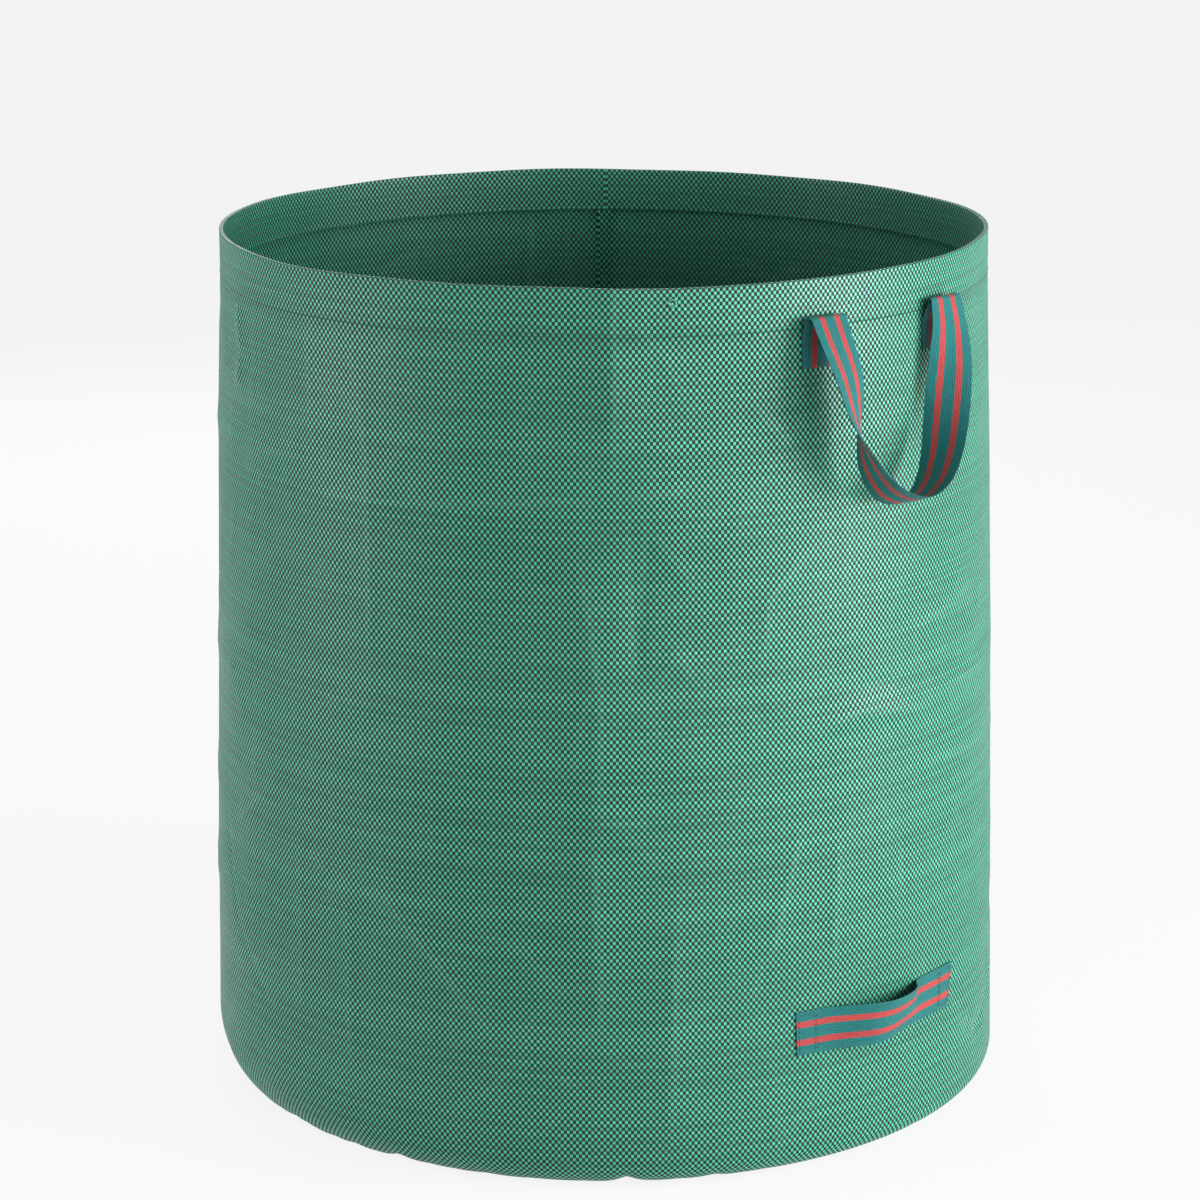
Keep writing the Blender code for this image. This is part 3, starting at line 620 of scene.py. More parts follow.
def stitches(name, places, ways, outs, length, thickness):
    """Lengths of thread on the cloth. Each bows up over it, and both ends go down into it."""
    count = len(places)
    ways = ways / np.linalg.norm(ways, axis=1, keepdims=True)
    outs = outs - ways * (outs * ways).sum(axis=1, keepdims=True)
    outs /= np.linalg.norm(outs, axis=1, keepdims=True)
    sides = np.cross(ways, outs)
    share = np.array([-0.5, -0.42, -0.22, 0.0, 0.22, 0.42, 0.5])
    lift = thickness * np.array([-0.55, -0.05, 0.32, 0.42, 0.32, -0.05, -0.55])
    girth = thickness / 2 * np.array([0.35, 0.8, 1.0, 1.0, 1.0, 0.8, 0.35])
    turn = np.arange(6) * math.tau / 6
    middle = (places[:, None, :] + ways[:, None, :] * (share * length)[None, :, None]
              + outs[:, None, :] * lift[None, :, None])
    round_it = (outs[:, None, None, :] * np.cos(turn)[None, None, :, None]
                + sides[:, None, None, :] * np.sin(turn)[None, None, :, None])
    points = middle[:, :, None, :] + round_it * girth[None, :, None, None]
    rings = len(share)
    index = np.arange(count * rings * 6).reshape(count, rings, 6)
    after = np.roll(index, -1, axis=2)
    walls = np.stack([index[:, :-1], index[:, 1:], after[:, 1:], after[:, :-1]], axis=-1)
    faces = walls.reshape(-1, 4).tolist()
    faces += index[:, 0, :].tolist() + index[:, -1, ::-1].tolist()
    mesh = bpy.data.meshes.new(name)
    mesh.from_pydata(points.reshape(-1, 3).tolist(), [], faces)
    along = np.broadcast_to(((share + 0.5) * length)[None, :, None], index.shape)
    girthwise = np.broadcast_to(turn[None, None, :] / math.tau * thickness * 3, index.shape)
    place = np.stack([along, girthwise], axis=-1).reshape(-1, 2)
    corners = np.array([corner for face in faces for corner in face])
    layer = mesh.uv_layers.new(name="cloth_metres")
    layer.data.foreach_set("uv", place[corners].astype(np.float32).ravel())
    mesh.shade_smooth()
    mesh.materials.append(green_thread)
    made = put_in_scene(name, mesh)
    return made


count = int(math.tau * (SEAM_FOOT_RADIUS - SEAM_THICKNESS) / OVERLOCK_PITCH)
sewn_at = np.linspace(-180, 180, count, endpoint=False)
sewn_pull = foot_tucks(sewn_at, np.zeros(count))


def on_seam(azimuth, share):
    """Points on the inner face of the standing edges, that share of the way up them."""
    return rolled(seam_radius(azimuth, share, sewn_pull) - SEAM_THICKNESS / 2, azimuth,
                  np.full(azimuth.shape, SEAM_FOOT + share * SEAM_HEIGHT))


low = on_seam(sewn_at, 0.35)
high = on_seam(sewn_at + OVERLOCK_LEAN, 0.97)
inward = -rolled(np.ones(count), sewn_at, np.zeros(count))
overlock = stitches("base_seam_overlock", (low + high) / 2, high - low, inward, OVERLOCK_LENGTH,
                    THREAD)
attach(overlock, "bag_body")
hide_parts("base_seam_thread")


# Side seam
# The two edges of the wall's cloth, laid together and sewn down flat against the inside, 14 mm
# wide, at the back where the photograph doesn't show it. One edge is raw and lifts a little.
SIDE_SEAM_WIDTH = 0.014
SIDE_SEAM_THICKNESS = 0.0013
SIDE_SEAM_GAP = 0.0004
SIDE_SEAM_LOOSE = 0.0009
SIDE_SEAM_ROWS = 170
SIDE_SEAM_FOOT = 0.016
STITCH_LENGTH = 0.0037
STITCH_PITCH = 0.0048
SEWN_FROM = 0.006
SEWN_TO = 0.005

seam_heights = np.linspace(SIDE_SEAM_FOOT, HEM_FOOT - CLOTH_THICKNESS, SIDE_SEAM_ROWS)[:, None]
seam_across = np.linspace(-0.5, 0.5, 9)[None, :]


def side_seam_face(heights, across):
    """Points on the inner face of the side seam, across its width as a share."""
    azimuth = SIDE_SEAM_AZIMUTH + across * SIDE_SEAM_WIDTH / METRES_PER_DEGREE + 0 * heights
    heights = heights + 0 * across
    reach = from_ring(foot_ring, azimuth)
    in_foot = np.clip((reach - heights) / reach, 0, 1)
    plain = plain_radius(np.maximum(heights, reach))
    plain = SEAM_RADIUS + (plain - SEAM_RADIUS) * np.sqrt(1 - in_foot ** 2)
    wavy = 1.2 + np.sin(heights * 90) + 0.5 * np.sin(heights * 233)
    loose = SIDE_SEAM_LOOSE * np.clip(across * 2, 0, 1) ** 2 * wavy
    lift = wall_shape(azimuth, heights)[0] * np.clip(heights / FOOT_FADE, 0, 1)
    inset = CLOTH_THICKNESS + SIDE_SEAM_GAP + SIDE_SEAM_THICKNESS
    return rolled(plain + lift - inset - loose, azimuth, heights)


seam_strip = side_seam_face(seam_heights, seam_across[:, ::-1])
strip_uv = np.stack([seam_across[:, ::-1] * SIDE_SEAM_WIDTH + 0 * seam_heights,
                     seam_heights + 0 * seam_across], axis=-1)
side_seam = shell("side_seam_strip", seam_strip, strip_uv, SIDE_SEAM_THICKNESS, around=False)
side_seam.data.materials.append(cut_cloth)
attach(side_seam, "bag_body")
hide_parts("side_seam")
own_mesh(side_seam)

sewn_heights = np.arange(SIDE_SEAM_FOOT + SEWN_FROM, HEM_FOOT - SEWN_TO, STITCH_PITCH)[:, None]
sewn_middle = side_seam_face(sewn_heights, np.zeros((1, 1)))[:, 0]
sewn_way = np.gradient(sewn_middle, axis=0)
inward = np.repeat(-rolled(1.0, SIDE_SEAM_AZIMUTH, 0.0)[None, :], len(sewn_middle), axis=0)
seam_stitches = stitches("side_seam_stitches", sewn_middle, sewn_way, inward, STITCH_LENGTH, THREAD)
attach(seam_stitches, "bag_body")
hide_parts("side_seam_thread")
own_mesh(seam_stitches)


# Rim band
# A flat white polypropylene strip, 36 mm wide and 1 mm thick, extruded and cut to length, bent
# into a hoop with its ends lapped under the rivet. It holds the mouth open inside the hem.
RIVET_AZIMUTH = -34.0
BAND_THICKNESS = 0.001
BAND_INSET = 0.0016
BAND_FOOT = HEM_FOOT + 0.0034
BAND_TOP = HEM_TOP - 0.0018
BAND_COLUMNS = 460
BAND_ROWS = 9
LAP_GAP = 0.0003
LAP_HALF_DEGREES = 3.75
STEP_IN_DEGREES = 11.25


def lap_step(azimuth):
    """How far the hoop's under end has stepped in, from 0 to 1, at degrees round the bag."""
    past = np.abs((azimuth - RIVET_AZIMUTH + 180) % 360 - 180) - LAP_HALF_DEGREES
    share = np.clip(1 - past / STEP_IN_DEGREES, 0, 1)
    return share * share * (3 - 2 * share)


hoop = np.linspace(-LAP_HALF_DEGREES, 360 + LAP_HALF_DEGREES, BAND_COLUMNS)
hoop_azimuth = RIVET_AZIMUTH + hoop
under = np.where(hoop > 180, lap_step(hoop_azimuth), 0.0)
band_heights = np.linspace(BAND_FOOT, BAND_TOP, BAND_ROWS)
band_azimuth, band_height = np.broadcast_arrays(hoop_azimuth[:, None], band_heights[None, :])
band_radius = (RIM_RADIUS + wall_shape(band_azimuth, band_height)[0] - BAND_INSET
               - under[:, None] * (BAND_THICKNESS + LAP_GAP))
band_face = rolled(band_radius, band_azimuth, band_height)
band_uv = np.stack([hoop[:, None] * METRES_PER_DEGREE + 0 * band_heights,
                    band_heights + 0 * hoop[:, None]], axis=-1)
band = shell("rim_band_strip", band_face[:, ::-1], band_uv[:, ::-1], BAND_THICKNESS, around=False)


def extruded_strip(name):
    """Extruded polypropylene: cloudy white, with fine draw lines along it, under 1 mm apart, and
    a waxy shine."""
    finish, shader = new_finish(name)
    uv = add_node(finish, "UVMap", uv_map="cloth_metres")["UV"]
    drawn = add_node(finish, "Mapping", {"Vector": uv, "Scale": (6, 1400, 1)})[0]
    lines = add_node(finish, "TexNoise", {"Vector": drawn, "Scale": 1.0},
                     noise_dimensions="2D")["Fac"]
    colour = add_node(finish, "Mix", {"Factor": lines, "A": linear("#D9DAD4"),
                                      "B": linear("#F1F1EC")}, data_type="RGBA")["Result"]
    bump = add_node(finish, "Bump", {"Height": lines, "Strength": 0.3, "Distance": 0.00005})[0]
    feed(finish, shader, {"Base Color": colour, "Normal": bump, "Roughness": 0.38, "IOR": 1.49})
    return finish


band.data.materials.append(extruded_strip("extruded_white_polypropylene"))
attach(band, "rim")
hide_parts("rim_band")


# Hem
# The top 84 mm of the wall's cloth, turned in over the band and stitched down below it, with one
# row of stitches outside and one inside. The fold is crisp, and the two faces of the hem follow
# the hoop's slow waves.
HEM_CLOTH = 0.0005
HEM_WIDTH = 0.0036
LAP_BULGE = 0.0013
# Where the outer face starts at the hem's foot: in from the outside, and up.
HEM_EDGE = [(0.0002, 0.0001), (0.0, 0.0005), (0.0, 0.0020), (0.0, 0.0040)]
HEM_STEPS = 10
HEM_FOLD_STEPS = 6
HEM_FOLD_RISE = 0.0012
HEM_INNER_FOOT = HEM_FOOT + 0.0008
HEM_TOP_WAVES = (0.0004, 0.0003)
SEWN_RISE = 0.0024
STITCH_SINK = 0.0001

hem_azimuth = azimuths[None, :]
hem_width = HEM_WIDTH + LAP_BULGE * lap_step(hem_azimuth)
fold_foot = HEM_TOP - HEM_FOLD_RISE
outer_start = HEM_FOOT + HEM_EDGE[-1][1]
profile = [(inset * np.ones(hem_azimuth.shape), HEM_FOOT + up) for inset, up in HEM_EDGE]
for share in np.linspace(0, 1, HEM_STEPS + 1)[1:]:
    profile.append((0 * hem_width, outer_start + (fold_foot - outer_start) * share))
for step in range(1, HEM_FOLD_STEPS):
    turn = math.pi * step / HEM_FOLD_STEPS
    profile.append((hem_width / 2 * (1 - math.cos(turn)),
                    fold_foot + HEM_FOLD_RISE * math.sin(turn) ** 0.6))
for share in np.linspace(1, 0, HEM_STEPS):
    profile.append((hem_width, HEM_INNER_FOOT + (fold_foot - HEM_INNER_FOOT) * share))
hem_inset = np.concatenate([inset for inset, height in profile])
hem_height = np.array([[height] * WALL_COLUMNS for inset, height in profile])
hem_azimuth = np.repeat(hem_azimuth, len(hem_inset), axis=0)
hem_lift, hem_bent = wall_shape(hem_azimuth, hem_height)
# The fold's edge isn't quite level.
edge_wave = (HEM_TOP_WAVES[0] * (np.sin(np.radians(hem_azimuth * 5 + 60)) - 1)
             + HEM_TOP_WAVES[1] * np.sin(np.radians(hem_azimuth * 13)))
at_top = np.clip((hem_height - HEM_FOOT) / (HEM_TOP - HEM_FOOT), 0, 1) ** 2
hem_face = rolled(RIM_RADIUS + hem_lift - hem_inset, hem_azimuth, hem_height + edge_wave * at_top)
hem_steps = np.hypot(np.diff(hem_inset, axis=0), np.diff(hem_height, axis=0))
hem_up = np.concatenate([np.zeros((1, WALL_COLUMNS)), np.cumsum(hem_steps, axis=0)])
# The weave runs on from the wall: its tapes are counted from where the wall goes behind the hem.
hem_start = (up_cloth[-3] - up_cloth[-1]).mean()
hem_around = ((hem_azimuth - SIDE_SEAM_AZIMUTH) % 360) * METRES_PER_DEGREE
hem_uv = np.stack([hem_around, hem_start + hem_up], axis=-1)
hem = shell("rim_hem_cloth", hem_face, hem_uv, HEM_CLOTH)
paint(hem, "bent", hem_bent)
hem.data.materials.append(tape_cloth)
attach(hem, "rim")
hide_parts("rim_hem")

count = int(math.tau * RIM_RADIUS / STITCH_PITCH)
sewn_at = np.linspace(-180, 180, count, endpoint=False)
sewn_height = np.full(count, HEM_FOOT + SEWN_RISE)
out_way = rolled(np.ones(count), sewn_at, np.zeros(count))
along_way = np.stack([-out_way[:, 1], out_way[:, 0], out_way[:, 2]], axis=-1)
outer_row = on_wall(sewn_at, sewn_height, -STITCH_SINK)
# The inner row's stitches lie half a stitch on from the outer ones.
inner_row = on_wall(sewn_at + 180 / count, sewn_height, -HEM_WIDTH)
inner_row -= out_way * (LAP_BULGE * lap_step(sewn_at))[:, None]
hem_stitches = stitches("rim_hem_stitches", np.concatenate([outer_row, inner_row]),
                        np.concatenate([along_way, along_way]),
                        np.concatenate([out_way, -out_way]), STITCH_LENGTH, THREAD)
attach(hem_stitches, "rim")
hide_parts("rim_thread")


# Rivet
# A tubular steel rivet, 7 mm across, lacquered green. It is pushed through the hem and both ends
# of the band, and its tube is rolled over on the inside.
RIVET_HEIGHT = HEM_TOP - 0.0125
RIVET_SIDES = 40
RIVET_HOLE = 0.00215
DRILL_ENDS = (0.004, -0.010)
# The tube and its two rolled heads, right round: from the rivet's middle line, and outwards.
RIVET_PROFILE = [(0.0014, -0.0062), (0.0030, -0.0063), (0.0035, -0.0060), (0.0036, -0.0056),
                 (0.0035, -0.0053), (0.0022, -0.0053), (0.0021, 0.0001), (0.0034, 0.0001),
                 (0.0036, 0.0004), (0.0035, 0.0008), (0.0032, 0.0011), (0.0027, 0.0012),
                 (0.0022, 0.0010), (0.0019, 0.0004), (0.0016, -0.0012)]

turn = np.arange(RIVET_SIDES) * math.tau / RIVET_SIDES
rivet_out = rolled(1.0, RIVET_AZIMUTH, 0.0)
rivet_side = rolled(1.0, RIVET_AZIMUTH + 90, 0.0)
rivet_base = on_wall(RIVET_AZIMUTH, RIVET_HEIGHT)


def around_rivet(reach, out):
    """A ring of points round the rivet's middle line."""
    across = rivet_side * (reach * np.cos(turn))[:, None]
    up = np.array([0, 0, 1]) * (reach * np.sin(turn))[:, None]
    return rivet_base + rivet_out * out + across + up


def turned_mesh(name, profile):
    """A closed ring of metal: a profile turned round the rivet's middle line."""
    points = np.stack([around_rivet(reach, out) for reach, out in profile], axis=1)
    index = np.arange(RIVET_SIDES * len(profile)).reshape(RIVET_SIDES, len(profile))
    after, beside = np.roll(index, -1, axis=1), np.roll(index, -1, axis=0)
    faces = np.stack([index, after, np.roll(beside, -1, axis=1), beside], axis=-1)
    mesh = bpy.data.meshes.new(name)
    mesh.from_pydata(points.reshape(-1, 3).tolist(), [], faces.reshape(-1, 4).tolist())
    return mesh


mesh = turned_mesh("rim_rivet_head", RIVET_PROFILE)
mesh.shade_smooth()
mesh.set_sharp_from_angle(angle=math.radians(60))
rivet = put_in_scene("rim_rivet_head", mesh)

# The hole for the rivet's tube, punched through the hem and the band's ends.
drill_mesh = bpy.data.meshes.new("rivet_drill")
points = np.concatenate([around_rivet(RIVET_HOLE, out) for out in DRILL_ENDS])
faces = [tuple(range(RIVET_SIDES)), tuple(range(2 * RIVET_SIDES - 1, RIVET_SIDES - 1, -1))]
for side in range(RIVET_SIDES):
    beside = (side + 1) % RIVET_SIDES
    faces.append((beside, side, side + RIVET_SIDES, beside + RIVET_SIDES))
drill_mesh.from_pydata(points.tolist(), [], faces)
drill = put_in_scene("rivet_drill", drill_mesh)
for pierced in (hem, band):
    cut = pierced.modifiers.new("rivet_hole", "BOOLEAN")
    cut.operation = "DIFFERENCE"
    cut.solver = "EXACT"
    cut.object = drill
    shape = pierced.evaluated_get(bpy.context.evaluated_depsgraph_get())
    whole = pierced.data
    pierced.data = bpy.data.meshes.new_from_object(shape)
    pierced.modifiers.clear()
    bpy.data.meshes.remove(whole)
bpy.data.objects.remove(drill)


def lacquered_steel(name, lacquer):
    """Steel with a thin green lacquer baked on: smooth and bright, with scuffs some 1 mm across
    that are duller and paler."""
    finish, shader = new_finish(name)
    place = add_node(finish, "TexCoord")["Object"]
    scuff = add_node(finish, "TexNoise", {"Vector": place, "Scale": 900.0, "Detail": 3.0})["Fac"]
    worn = add_node(finish, "MapRange", {"Value": scuff, "From Min": 0.55, "From Max": 0.75})[0]
    colour = add_node(finish, "Mix", {"Factor": worn, "A": linear(lacquer),
                                      "B": linear("#9FB3A8")}, data_type="RGBA")["Result"]
    rough = add_node(finish, "MapRange", {"Value": scuff, "From Min": 0.3, "From Max": 0.7,
                                          "To Min": 0.22, "To Max": 0.42})[0]
    feed(finish, shader, {"Base Color": colour, "Roughness": rough, "Metallic": 0.55})
    return finish


rivet.data.materials.append(lacquered_steel("green_lacquered_steel", "#2F8F6C"))
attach(rivet, "rim")
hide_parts("rim_rivet")


# Upper loops
# Polypropylene webbing, 38 mm wide, teal with two red stripes woven in. Each end is sewn flat to
# the wall with its cut edge down; the strap folds over at the hem's foot and hangs in front, and
# each half turns a quarter turn on the way down, so that the bottom of the loop lies flat.
WEBBING_WIDTH = 0.038
WEBBING_THICKNESS = 0.0013
WEBBING_YARNS = 28
PICK_SPACING = 0.0015
STRAP_COLUMNS = 15
# The hanging loop's middle line and the direction across it, from its front fold to its back one.
LOOP_ROUTE = [
    ((0.3487, -0.0700, 0.7081), (-0.08, 0.99, 0.08)),
    ((0.3590, -0.0673, 0.6833), (-0.20, 0.98, 0.05)),
    ((0.3640, -0.0644, 0.6573), (-0.42, 0.91, 0.06)),
    ((0.3671, -0.0601, 0.6312), (-0.80, 0.58, 0.06)),
    ((0.3706, -0.0502, 0.6050), (-0.98, 0.16, -0.06)),
    ((0.3748, -0.0331, 0.5840), (-0.95, -0.04, -0.28)),
    ((0.3765, -0.0077, 0.5755), (-0.95, -0.08, -0.30)),
    ((0.3738, 0.0173, 0.5850), (-0.97, -0.12, -0.22)),
    ((0.3673, 0.0353, 0.6060), (-0.95, -0.28, -0.10)),
    ((0.3604, 0.0471, 0.6296), (-0.86, -0.51, -0.02)),
    ((0.3549, 0.0557, 0.6542), (-0.69, -0.72, 0.06)),
    ((0.3500, 0.0626, 0.6795), (-0.44, -0.89, 0.09)),
    ((0.3442, 0.0676, 0.7050), (-0.12, -0.99, 0.05)),
]
TAB_HEIGHTS = [0.6872, 0.6930, 0.6990, 0.7050, 0.7105]
# Between its sewn part and its fold, the strap leaves the wall: the height, a radius, and the
# share of the way from the wall to that radius.
NECK_HEIGHT = 0.7178
NECK_RADIUS = 0.3318
NECK_SHARE = 0.45
STRAP_GAP = 0.0009
# Round the fold from behind: degrees, and how closely the strap still follows the wall's curve.
FOLD_TURNS = [(205, 0.9), (160, 0.8), (115, 0.65), (75, 0.5), (35, 0.35), (0, 0.2)]
FOLD_MIDDLE = (0.3352, 0.7262)
FOLD_RADIUS = 0.0034
# Where each end is sewn on, and how far it has shifted sideways at its neck and at its fold.
FRONT_TAB, FRONT_SHIFTS = -0.0680, (-0.0006, -0.0016)
BACK_TAB, BACK_SHIFTS = 0.0674, (0.0004, 0.0012)
TAB_LENGTH = 0.0180
# The box of stitches on each end: from the strap's cut edge, and in from its woven edges.
UPPER_BOX = (0.0040, 0.0035)
BOX_PITCH = 0.0040
BOX_STITCH = 0.0033
ROUTE_STEPS = 5


def smooth_rows(rows, steps):
    """Rows of numbers on a smooth curve through the given ones."""
    rows = np.array(rows, float)
    ends = np.concatenate([[2 * rows[0] - rows[1]], rows, [2 * rows[-1] - rows[-2]]])
    made = []
    for before, start, end, after in zip(ends, ends[1:], ends[2:], ends[3:]):
        for step in range(steps):
            t = step / steps
            square = 2 * before - 5 * start + 4 * end - after
            cube = 3 * start - before - 3 * end + after
            made.append((2 * start + (end - before) * t + square * t ** 2 + cube * t ** 3) / 2)
    made.append(rows[-1])
    return np.array(made)


def wall_x(along, height, turn):
    """The outside of the wall, out along a handle's own direction, beside its middle by along."""
    radius = plain_radius(height)
    for again in range(2):
        azimuth = np.degrees(np.arcsin(along / radius)) + turn
        radius = plain_radius(height) + wall_shape(azimuth, height + 0 * along)[0]
    return np.sqrt(radius ** 2 - along ** 2)


def distances(points):
    """How far along a line each of its points lies."""
    return np.concatenate([[0], np.cumsum(np.linalg.norm(np.diff(points, axis=0), axis=1))])


def turned(grid, turn):
    """Points turned round the bag from the right-hand side, where turn is 0."""
    swing = math.radians(turn)
    return grid @ np.array([[math.cos(swing), math.sin(swing), 0],
                            [-math.sin(swing), math.cos(swing), 0], [0, 0, 1]])


def hanging_grid(middles, acrosses, follows, turn):
    """The middle surface of a strap from its middle line and the directions across it. follows
    says how closely each row keeps to the wall's curve."""
    share = np.linspace(-0.5, 0.5, STRAP_COLUMNS)
    acrosses = acrosses / np.linalg.norm(acrosses, axis=1, keepdims=True)
    straight = middles[:, None, :] + acrosses[:, None, :] * (share * WEBBING_WIDTH)[None, :, None]
    near = follows > 0
    curve = wall_x(straight[near][..., 1], straight[near][..., 2], turn)
    at_middle = wall_x(middles[near, 1], middles[near, 2], turn)
    bent_x = middles[near, 0][:, None] + curve - at_middle[:, None]
    straight[near, :, 0] += (bent_x - straight[near][..., 0]) * follows[near, None]
    return turned(straight, turn)


def webbing_piece(name, grid, runs, flipped=False):
    """A strap from the grid of its middle surface and the distance of each row along it. flipped
    says that the grid's columns run the other way, so that the outer face still comes out."""
    share = np.linspace(0, 1, STRAP_COLUMNS)
    uv = np.stack(np.broadcast_arrays((share * WEBBING_WIDTH)[None, :], runs[:, None]), axis=-1)
    # The woven edges are thinner than the middle.
    thickness = WEBBING_THICKNESS * (1 - 0.45 * np.abs(2 * share - 1) ** 10)
    order = slice(None, None, -1 if flipped else 1)
    made = shell(name, grid[:, order], uv[:, order], thickness[None, order], around=False,
                 middle=True)
    made.data.materials.append(striped_webbing)
    return made


def woven_webbing(name, ground, ground_in_shade, stripe, stripe_in_shade):
    """Woven polypropylene webbing: thick yarns in a plain weave, which give small square grains
    with painted shade in the gaps between them, and a dull, slightly woolly face, a little worn in
    patches of some 20 mm. The two red stripes are dyed yarns."""
    finish, shader = new_finish(name)
    uv = add_node(finish, "UVMap", uv_map="cloth_metres")["UV"]
    metres = add_node(finish, "SeparateXYZ", [uv])
    # 28 yarns lie side by side along the strap, 1.36 mm apart, and one crosses every 1.5 mm.
    yarn = add_node(finish, "Math", [metres["X"], WEBBING_WIDTH / WEBBING_YARNS],
                    operation="DIVIDE")[0]
    pick = add_node(finish, "Math", [metres["Y"], PICK_SPACING], operation="DIVIDE")[0]
    yarn_number = add_node(finish, "Math", [yarn], operation="FLOOR")[0]
    every_second = add_node(finish, "Math", [yarn_number, 2.0], operation="FLOORED_MODULO")[0]
    grain = crossings(finish, yarn, blended(finish, pick, 1.0, every_second, 0.5), 0.6)
    # The stripes are two bands of 14% of the width, mirrored about the middle.
    away = add_node(finish, "Math", [metres["X"], WEBBING_WIDTH], operation="DIVIDE")[0]
    for middle in (0.5, 0.205):
        off = add_node(finish, "Math", [away, middle], operation="SUBTRACT")[0]
        away = add_node(finish, "Math", [off], operation="ABSOLUTE")[0]
    in_stripe = add_node(finish, "Math", [away, 0.071], operation="LESS_THAN")[0]
    worn = add_node(finish, "TexNoise", {"Vector": uv, "Scale": 45.0, "Detail": 2.0},
                    noise_dimensions="2D")["Fac"]
    # The colour darkens towards the gaps between the yarns as painted shade, and a little in worn
    # patches.
    shade_and_wear = blended(finish, grain, 0.85, worn, 0.15)
    teal = add_node(finish, "Mix", {"Factor": shade_and_wear, "A": linear(ground_in_shade), "B": linear(ground)},
                    data_type="RGBA")["Result"]
    red = add_node(finish, "Mix", {"Factor": shade_and_wear, "A": linear(stripe_in_shade), "B": linear(stripe)},
                   data_type="RGBA")["Result"]
    colour = add_node(finish, "Mix", {"Factor": in_stripe, "A": teal, "B": red},
                      data_type="RGBA")["Result"]
    fuzz = add_node(finish, "TexNoise", {"Vector": uv, "Scale": 1500.0, "Detail": 2.0},
                    noise_dimensions="2D")["Fac"]
    bump = add_node(finish, "Bump", {"Height": blended(finish, grain, 1.0, fuzz, 0.35),
                                     "Strength": 0.9, "Distance": 0.00045})[0]
    feed(finish, shader, {"Base Color": colour, "Normal": bump, "Roughness": 0.68,
                          "Specular IOR Level": 0.3, "Sheen Weight": 0.06,
                          "Sheen Roughness": 0.5})
    return finish


striped_webbing = woven_webbing("teal_webbing_with_red_stripes", "#148A88", "#022E34", "#DE5350",
                                "#64141B")


def grid_points(grid, rows, columns):
    """Points, and their row and column directions, at places between a grid's points."""
    rows = np.clip(rows, 0, grid.shape[0] - 1.001)
    columns = np.clip(columns, 0, grid.shape[1] - 1.001)
    row, column = rows.astype(int), columns.astype(int)
    up, over = (rows - row)[:, None], (columns - column)[:, None]
    a, b = grid[row, column], grid[row, column + 1]
    c, d = grid[row + 1, column], grid[row + 1, column + 1]
    point = (a * (1 - over) + b * over) * (1 - up) + (c * (1 - over) + d * over) * up
    return point, c - a, b - a


def sewn_box(name, grid, runs, start, margin, lines=()):
    """A box of stitches on a strap's outer face, from that distance along it. lines are more
    rows of stitches across the strap, as shares of the way along the box."""
    end = start + TAB_LENGTH
    corners = [(start, margin), (start, WEBBING_WIDTH - margin), (end, WEBBING_WIDTH - margin),
               (end, margin), (start, margin)]
    pairs = list(zip(corners, corners[1:]))
    for share in lines:
        place = start + TAB_LENGTH * share
        pairs.append(((place, margin), (place, WEBBING_WIDTH - margin)))
    rows, columns, ways = [], [], []
    for first, second in pairs:
        way = np.array(second) - np.array(first)
        length = np.linalg.norm(way)
        number = max(1, round(length / BOX_PITCH))
        for step in range(number):
            at = np.array(first) + way * (step + 0.5) / number
            rows.append(np.interp(at[0], runs, np.arange(len(runs))))
            columns.append(at[1] / WEBBING_WIDTH * (STRAP_COLUMNS - 1))
            ways.append(way / length)
    points, up, over = grid_points(grid, np.array(rows), np.array(columns))
    outs = np.cross(over, up)
    outs /= np.linalg.norm(outs, axis=1, keepdims=True)
    ways = np.array(ways)
    up /= np.linalg.norm(up, axis=1, keepdims=True)
    over /= np.linalg.norm(over, axis=1, keepdims=True)
    direction = up * ways[:, :1] + over * ways[:, 1:]
    outs *= np.sign((outs * points * [1, 1, 0]).sum(axis=1, keepdims=True))
    return stitches(name, points + outs * (WEBBING_THICKNESS / 2), direction, outs, BOX_STITCH,
                    THREAD)


def upper_end(along, shifts, way, turn):
    """The rows of one end: up the wall from its cut edge, past the neck and round the fold."""
    heights = np.array(TAB_HEIGHTS + [NECK_HEIGHT])
    reach = wall_x(np.full(len(heights), along), heights, turn) + STRAP_GAP
    rows = [(x, along, height, 0, way, 0, 1.0) for x, height in zip(reach, TAB_HEIGHTS)]
    neck = reach[-1] * (1 - NECK_SHARE) + NECK_RADIUS * NECK_SHARE
    rows.append((neck, along + shifts[0], NECK_HEIGHT, 0, way, 0, 1.0))
    for degrees, follow in FOLD_TURNS:
        angle = math.radians(degrees)
        rows.append((FOLD_MIDDLE[0] + FOLD_RADIUS * math.cos(angle), along + shifts[1],
                     FOLD_MIDDLE[1] + FOLD_RADIUS * math.sin(angle), 0, way, 0, follow))
    return rows


def upper_handle(side, turn):
    """One whole upper loop with its two sewn ends, on the side that turn gives."""
    rows = upper_end(FRONT_TAB, FRONT_SHIFTS, 1, turn)
    rows += [place + across + (0.0,) for place, across in LOOP_ROUTE]
    rows += upper_end(BACK_TAB, BACK_SHIFTS, -1, turn)[::-1]
    route = smooth_rows(rows, ROUTE_STEPS)
    grid = hanging_grid(route[:, :3], route[:, 3:6], np.clip(route[:, 6], 0, 1), turn)
    runs = distances(route[:, :3])
    made = webbing_piece(f"{side}_upper_handle_webbing", grid, runs)
    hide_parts(f"{side}_upper_loop", f"{side}_upper_end_front", f"{side}_upper_end_back")
    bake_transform(made)
    facing = ("front", "back") if turn == 0 else ("back", "front")
    for end, start in zip(facing, (UPPER_BOX[0], runs[-1] - TAB_LENGTH - UPPER_BOX[0])):
        box = sewn_box(f"{side}_upper_stitches_{end}", grid, runs, start, UPPER_BOX[1])
        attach(box, "rim")
        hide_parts(f"{side}_upper_thread_{end}")


